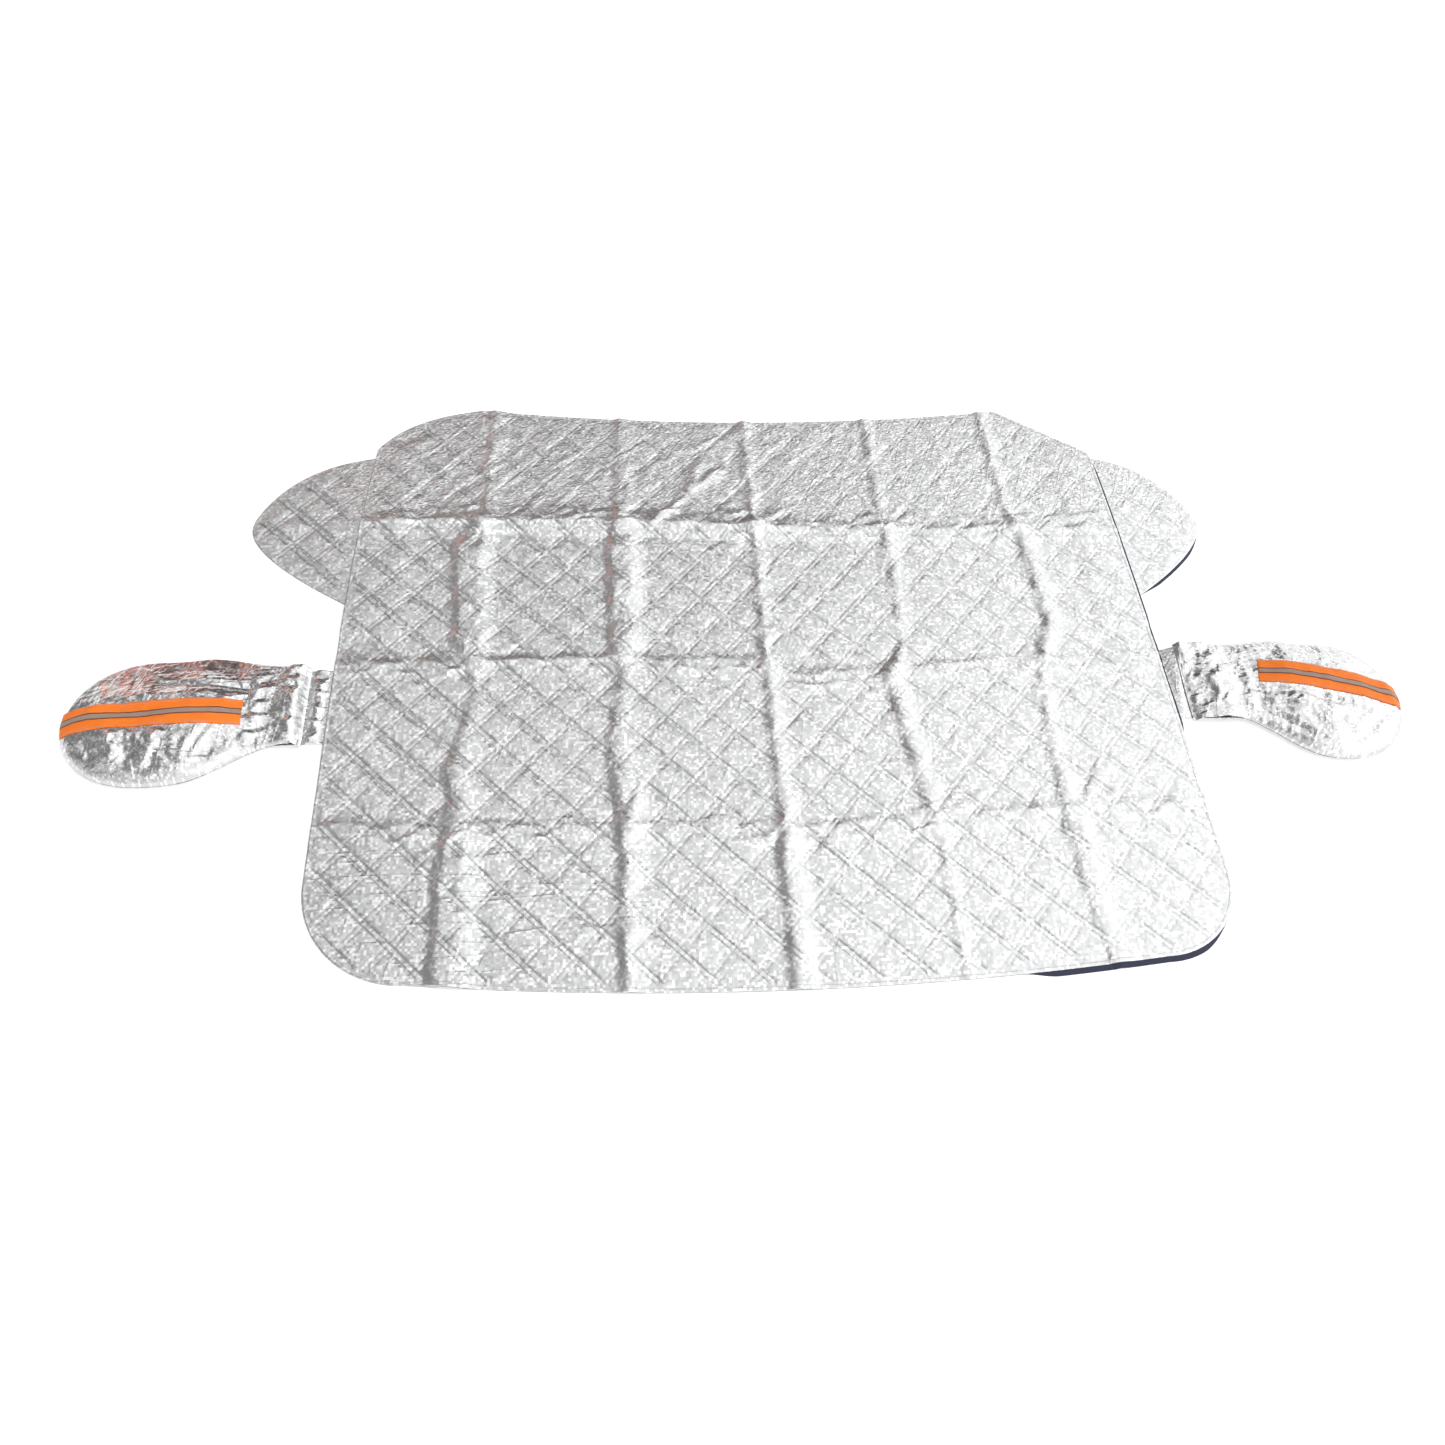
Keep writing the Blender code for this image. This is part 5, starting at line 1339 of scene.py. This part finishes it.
# Tapes
# A woven orange tape is sewn along the top of each pocket, with a grey reflective
# strip down its middle.
STRIPE_WIDTH = 0.012
TAPE_THICKNESS = 0.0006
STRIPE_THICKNESS = 0.0004
STITCH_INSET = 0.0025
TAPE_COLUMNS = 90
TAPE_NET_STEP = 0.0030
TAPE_END_INSET = 0.0015
TAPE_END_SKEW = 0.004
weave, nodes, links, entry, result = new_group(
    "plain_weave",
    [(VECTOR, "Place", (0, 0, 0)), (NUMBER, "Thread spacing", 0.0009)],
    [(NUMBER, "Height"), (NUMBER, "Shade")],
)
spacing = nodes.new("ShaderNodeCombineXYZ")
for axis in ("X", "Y", "Z"):
    links.new(entry.outputs["Thread spacing"], spacing.inputs[axis])
threads = vector_node(nodes, links, "DIVIDE", entry.outputs["Place"], spacing.outputs[0])
split = nodes.new("ShaderNodeSeparateXYZ")
links.new(threads, split.inputs[0])
waves = []
for axis in ("X", "Y"):
    angle = math_node(nodes, links, "MULTIPLY", split.outputs[axis], math.pi)
    waves.append(math_node(nodes, links, "ABSOLUTE", math_node(nodes, links, "SINE", angle)))
checks = nodes.new("ShaderNodeTexChecker")
checks.inputs["Scale"].default_value = 1.0
links.new(threads, checks.inputs["Vector"])
over = math_node(nodes, links, "MULTIPLY", waves[0], checks.outputs["Fac"])
other = math_node(nodes, links, "SUBTRACT", 1.0, checks.outputs["Fac"])
under = math_node(nodes, links, "MULTIPLY", waves[1], other)
woven = math_node(nodes, links, "ADD", over, under)
links.new(woven, result.inputs["Height"])
# The shade follows the height: the threads' tops are painted lighter and the dips between them darker, as
# painted shade.
links.new(woven, result.inputs["Shade"])


def tape_material(name, dark, bright, spacing, depth, roughness, glow, edge_from, edge_colour):
    """Woven or beaded tape that follows the piece's own UV map, in metres.

    glow is the light that a fluorescent dye gives back. Past edge_from the colour
    turns to the edge colour.
    """
    made, shader, nodes, links = new_material(name)
    place = nodes.new("ShaderNodeUVMap")
    place.uv_map = "along_tape"
    cloth = nodes.new("ShaderNodeGroup")
    cloth.node_tree = weave
    cloth.inputs["Thread spacing"].default_value = spacing
    links.new(place.outputs["UV"], cloth.inputs["Place"])
    soil = nodes.new("ShaderNodeTexNoise")
    soil.inputs["Scale"].default_value = 45.0
    soil.inputs["Detail"].default_value = 3.0
    links.new(nodes.new("ShaderNodeTexCoord").outputs["Object"], soil.inputs["Vector"])
    # The colour is the weave's painted shade, lighter on the threads and darker between them, mixed with
    # random blotches.
    mixed = math_node(nodes, links, "ADD", math_node(nodes, links, "MULTIPLY", cloth.outputs["Shade"], 0.6),
                      math_node(nodes, links, "MULTIPLY", soil.outputs["Fac"], 0.5))
    colour = nodes.new("ShaderNodeMix")
    colour.data_type = "RGBA"
    colour.inputs["A"].default_value = (*dark, 1.0)
    colour.inputs["B"].default_value = (*bright, 1.0)
    links.new(mixed, colour.inputs["Factor"])
    parts = nodes.new("ShaderNodeSeparateXYZ")
    links.new(place.outputs["UV"], parts.inputs[0])
    edge = nodes.new("ShaderNodeMapRange")
    edge.inputs["From Min"].default_value = edge_from
    edge.inputs["From Max"].default_value = edge_from + 0.0006
    links.new(math_node(nodes, links, "ABSOLUTE", parts.outputs["Y"]), edge.inputs["Value"])
    edged = nodes.new("ShaderNodeMix")
    edged.data_type = "RGBA"
    edged.inputs["B"].default_value = (*edge_colour, 1.0)
    links.new(edge.outputs[0], edged.inputs["Factor"])
    links.new(colour.outputs["Result"], edged.inputs["A"])
    links.new(edged.outputs["Result"], shader.inputs["Base Color"])
    links.new(edged.outputs["Result"], shader.inputs["Emission Color"])
    shader.inputs["Emission Strength"].default_value = glow
    bump = nodes.new("ShaderNodeBump")
    bump.inputs["Distance"].default_value = depth
    links.new(cloth.outputs["Height"], bump.inputs["Height"])
    links.new(bump.outputs["Normal"], shader.inputs["Normal"])
    shader.inputs["Roughness"].default_value = roughness
    return made


orange_weave = tape_material(
    "orange_weave", dark=(0.92, 0.15, 0.008), bright=(1.0, 0.25, 0.018), spacing=0.0010, depth=0.0003,
    roughness=0.65, glow=0.10, edge_from=1.0, edge_colour=(1.0, 0.20, 0.012))
silver_beads = tape_material(
    "reflective_beads", dark=(0.24, 0.17, 0.14), bright=(0.46, 0.33, 0.27), spacing=0.0006, depth=0.0002,
    roughness=0.45, glow=0.0, edge_from=0.0037, edge_colour=(0.20, 0.07, 0.035))


def tape_net(side, width):
    """A strip net of small squares from a tape's start to the pocket's tip seam."""
    start, along, across = tape_way(side)
    count = max(4, 2 * round(width / TAPE_NET_STEP / 2))
    rows = np.linspace(-width / 2, width / 2, count + 1)
    outline = side["pocket_edge"] * (side["turn"], 1)
    ends = []
    for row in rows:
        reach = np.linspace(0.05, side["pocket_length"], 800)
        line = start + reach[:, None] * along + row * across
        depth = depth_inside(outline, line)
        ends.append(reach[np.argmax(depth < TAPE_END_INSET)])
    ends = np.minimum(ends, min(ends) + TAPE_END_SKEW)
    points = []
    lengths = []
    for column in range(TAPE_COLUMNS + 1):
        for row, end in zip(rows, ends):
            points.append(start + along * end * column / TAPE_COLUMNS + across * row)
            lengths.append((end * column / TAPE_COLUMNS, row))
    points = np.array(points) * (side["turn"], 1)
    size = count + 1
    faces = []
    for column in range(TAPE_COLUMNS):
        for row in range(count):
            a = column * size + row
            face = (a, a + size, a + size + 1, a + 1)
            faces.append(face if side["turn"] > 0 else face[::-1])
    rim = [column * size for column in range(TAPE_COLUMNS + 1)]
    rim += [TAPE_COLUMNS * size + row for row in range(1, size)]
    rim += [column * size + count for column in range(TAPE_COLUMNS - 1, -1, -1)]
    rim += list(range(count - 1, 0, -1))
    if side["turn"] < 0:
        rim = rim[::-1]
    uses = np.array(rim + sorted(set(range(len(points))) - set(rim)))
    number = np.empty(len(points), dtype=int)
    number[uses] = np.arange(len(points))
    net = (points[uses], [tuple(number[list(face)]) for face in faces], len(rim))
    return net, np.array(lengths)[uses]


def add_uv(piece, lengths):
    """Lays the strip's own lengths on its upper and lower faces as a UV map."""
    layer = piece.data.uv_layers.new(name="along_tape")
    both = np.vstack([lengths, lengths])
    corners = np.empty(len(piece.data.loops), dtype=int)
    piece.data.loops.foreach_get("vertex_index", corners)
    layer.data.foreach_set("uv", both[corners].ravel())


tape_edges = {}
for name, side in SIDES.items():
    strip, strip_lengths = tape_net(side, TAPE_WIDTH)
    _, strip_high = pocket_heights(side, strip[0], side["seam"])
    strip_low = strip_high + FOIL_THICKNESS + 2 * SEAM_GAP
    tape = make_sheet(name + "_orange_woven_tape", strip, strip_low + TAPE_THICKNESS, strip, strip_low,
                      orange_weave, [name + "_orange_tape"])
    add_uv(tape, strip_lengths)
    tape_edges[name] = []
    for inset in (TAPE_WIDTH / 2 - STITCH_INSET, STITCH_INSET - TAPE_WIDTH / 2):
        near = np.abs(strip_lengths[:, 1] - inset)
        row = np.flatnonzero(near < near.min() + 1e-6)
        row = row[np.argsort(strip_lengths[row, 0])][1:-1]
        tape_edges[name].append(np.column_stack([strip[0][row], strip_low[row] + TAPE_THICKNESS]))
    band, band_lengths = tape_net(side, STRIPE_WIDTH)
    _, band_high = pocket_heights(side, band[0], side["seam"])
    band_low = band_high + FOIL_THICKNESS + 3 * SEAM_GAP + TAPE_THICKNESS
    stripe = make_sheet(name + "_reflective_strip", band, band_low + STRIPE_THICKNESS, band, band_low,
                        silver_beads, [name + "_reflective_stripe"])
    add_uv(stripe, band_lengths)

# Mouth elastics
# A ribbed elastic band is sewn into the hem of each pocket's mouth, where it gathers
# the film round the mirror's neck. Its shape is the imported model's own.
ribbed, shader, nodes, links = new_material("ribbed_elastic")
place = nodes.new("ShaderNodeTexCoord").outputs["Object"]
ribs = nodes.new("ShaderNodeTexWave")
ribs.bands_direction = "X"
ribs.inputs["Scale"].default_value = 300.0
links.new(place, ribs.inputs["Vector"])
# The ribs are painted darker in their dips and lighter on their tops, as painted shade that follows the bump.
rib_colour = nodes.new("ShaderNodeMix")
rib_colour.data_type = "RGBA"
rib_colour.inputs["A"].default_value = (0.34, 0.34, 0.36, 1.0)
rib_colour.inputs["B"].default_value = (0.62, 0.62, 0.64, 1.0)
links.new(ribs.outputs["Fac"], rib_colour.inputs["Factor"])
links.new(rib_colour.outputs["Result"], shader.inputs["Base Color"])
rib_bump = nodes.new("ShaderNodeBump")
rib_bump.inputs["Distance"].default_value = 0.0004
links.new(ribs.outputs["Fac"], rib_bump.inputs["Height"])
links.new(rib_bump.outputs["Normal"], shader.inputs["Normal"])
shader.inputs["Roughness"].default_value = 0.85
for name in SIDES:
    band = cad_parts[name + "_mouth_elastic"]
    for spot in range(len(band.material_slots)):
        band.material_slots[spot].material = ribbed

# Stitches
# The panel's hem and both edges of each tape are sewn with short running stitches of
# grey thread, which sit on the film.
STITCH_LENGTH = 0.0032
STITCH_PITCH = 0.0046
STITCH_RADIUS = 0.0003
STITCH_LIFT = STITCH_RADIUS * 0.6
STITCHED_ROW = 4

grey_thread, shader, nodes, links = new_material("grey_thread")
shader.inputs["Base Color"].default_value = (0.42, 0.42, 0.43, 1.0)
shader.inputs["Roughness"].default_value = 0.7

sewing = bpy.data.node_groups.new("running_stitch", "GeometryNodeTree")
sewing.interface.new_socket("Geometry", in_out="INPUT", socket_type="NodeSocketGeometry")
sewing.interface.new_socket("Geometry", in_out="OUTPUT", socket_type="NodeSocketGeometry")
stitch_sizes = {}
for label, value in (
    ("Stitch pitch", STITCH_PITCH),
    ("Stitch length", STITCH_LENGTH),
    ("Thread radius", STITCH_RADIUS),
):
    socket = sewing.interface.new_socket(label, in_out="INPUT", socket_type=NUMBER)
    stitch_sizes[socket.identifier] = value
entry = sewing.nodes.new("NodeGroupInput")
result = sewing.nodes.new("NodeGroupOutput")
seam_line = sewing.nodes.new("GeometryNodeMeshToCurve")
spaced = sewing.nodes.new("GeometryNodeResampleCurve")
spaced.mode = "LENGTH"
heading = sewing.nodes.new("GeometryNodeInputTangent")
facing = sewing.nodes.new("FunctionNodeAlignEulerToVector")
facing.axis = "Z"
stitch = sewing.nodes.new("GeometryNodeMeshCylinder")
stitch.inputs["Vertices"].default_value = 6
laid = sewing.nodes.new("GeometryNodeInstanceOnPoints")
real = sewing.nodes.new("GeometryNodeRealizeInstances")
threaded = sewing.nodes.new("GeometryNodeSetMaterial")
threaded.inputs["Material"].default_value = grey_thread
sewing.links.new(entry.outputs["Geometry"], seam_line.inputs["Mesh"])
sewing.links.new(entry.outputs["Stitch pitch"], spaced.inputs["Length"])
sewing.links.new(entry.outputs["Stitch length"], stitch.inputs["Depth"])
sewing.links.new(entry.outputs["Thread radius"], stitch.inputs["Radius"])
sewing.links.new(seam_line.outputs[0], spaced.inputs["Curve"])
sewing.links.new(heading.outputs[0], facing.inputs["Vector"])
sewing.links.new(spaced.outputs[0], laid.inputs["Points"])
sewing.links.new(stitch.outputs["Mesh"], laid.inputs["Instance"])
sewing.links.new(facing.outputs[0], laid.inputs["Rotation"])
sewing.links.new(laid.outputs[0], real.inputs[0])
sewing.links.new(real.outputs[0], threaded.inputs["Geometry"])
sewing.links.new(threaded.outputs[0], result.inputs[0])


def sew(name, path, closed):
    """A row of stitches along a path of points on the film."""
    count = len(path)
    edges = [(k, (k + 1) % count) for k in range(count if closed else count - 1)]
    mesh = bpy.data.meshes.new(name)
    mesh.from_pydata((path + np.array(zero)).tolist(), edges, [])
    piece = bpy.data.objects.new(name, mesh)
    scene.collection.objects.link(piece)
    rows = piece.modifiers.new("stitches", "NODES")
    rows.node_group = sewing
    for identifier, value in stitch_sizes.items():
        rows[identifier] = value
    ready = bpy.context.evaluated_depsgraph_get()
    sewn = bpy.data.meshes.new_from_object(piece.evaluated_get(ready))
    piece.modifiers.remove(rows)
    piece.data = sewn
    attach(piece, "root")


count = face_net[2]
ring = slice(STITCHED_ROW * count, (STITCHED_ROW + 1) * count)
hem_points = face_net[0][ring]
hem_path = np.column_stack([hem_points, panel_top(hem_points, face_depth[ring], face_under[ring])])
sew("hem_stitches", hem_path + (0.0, 0.0, STITCH_LIFT), True)
for name, edges in tape_edges.items():
    for number, path in enumerate(edges):
        sew(f"{name}_tape_stitches_{number + 1}", path + (0.0, 0.0, STITCH_LIFT), False)
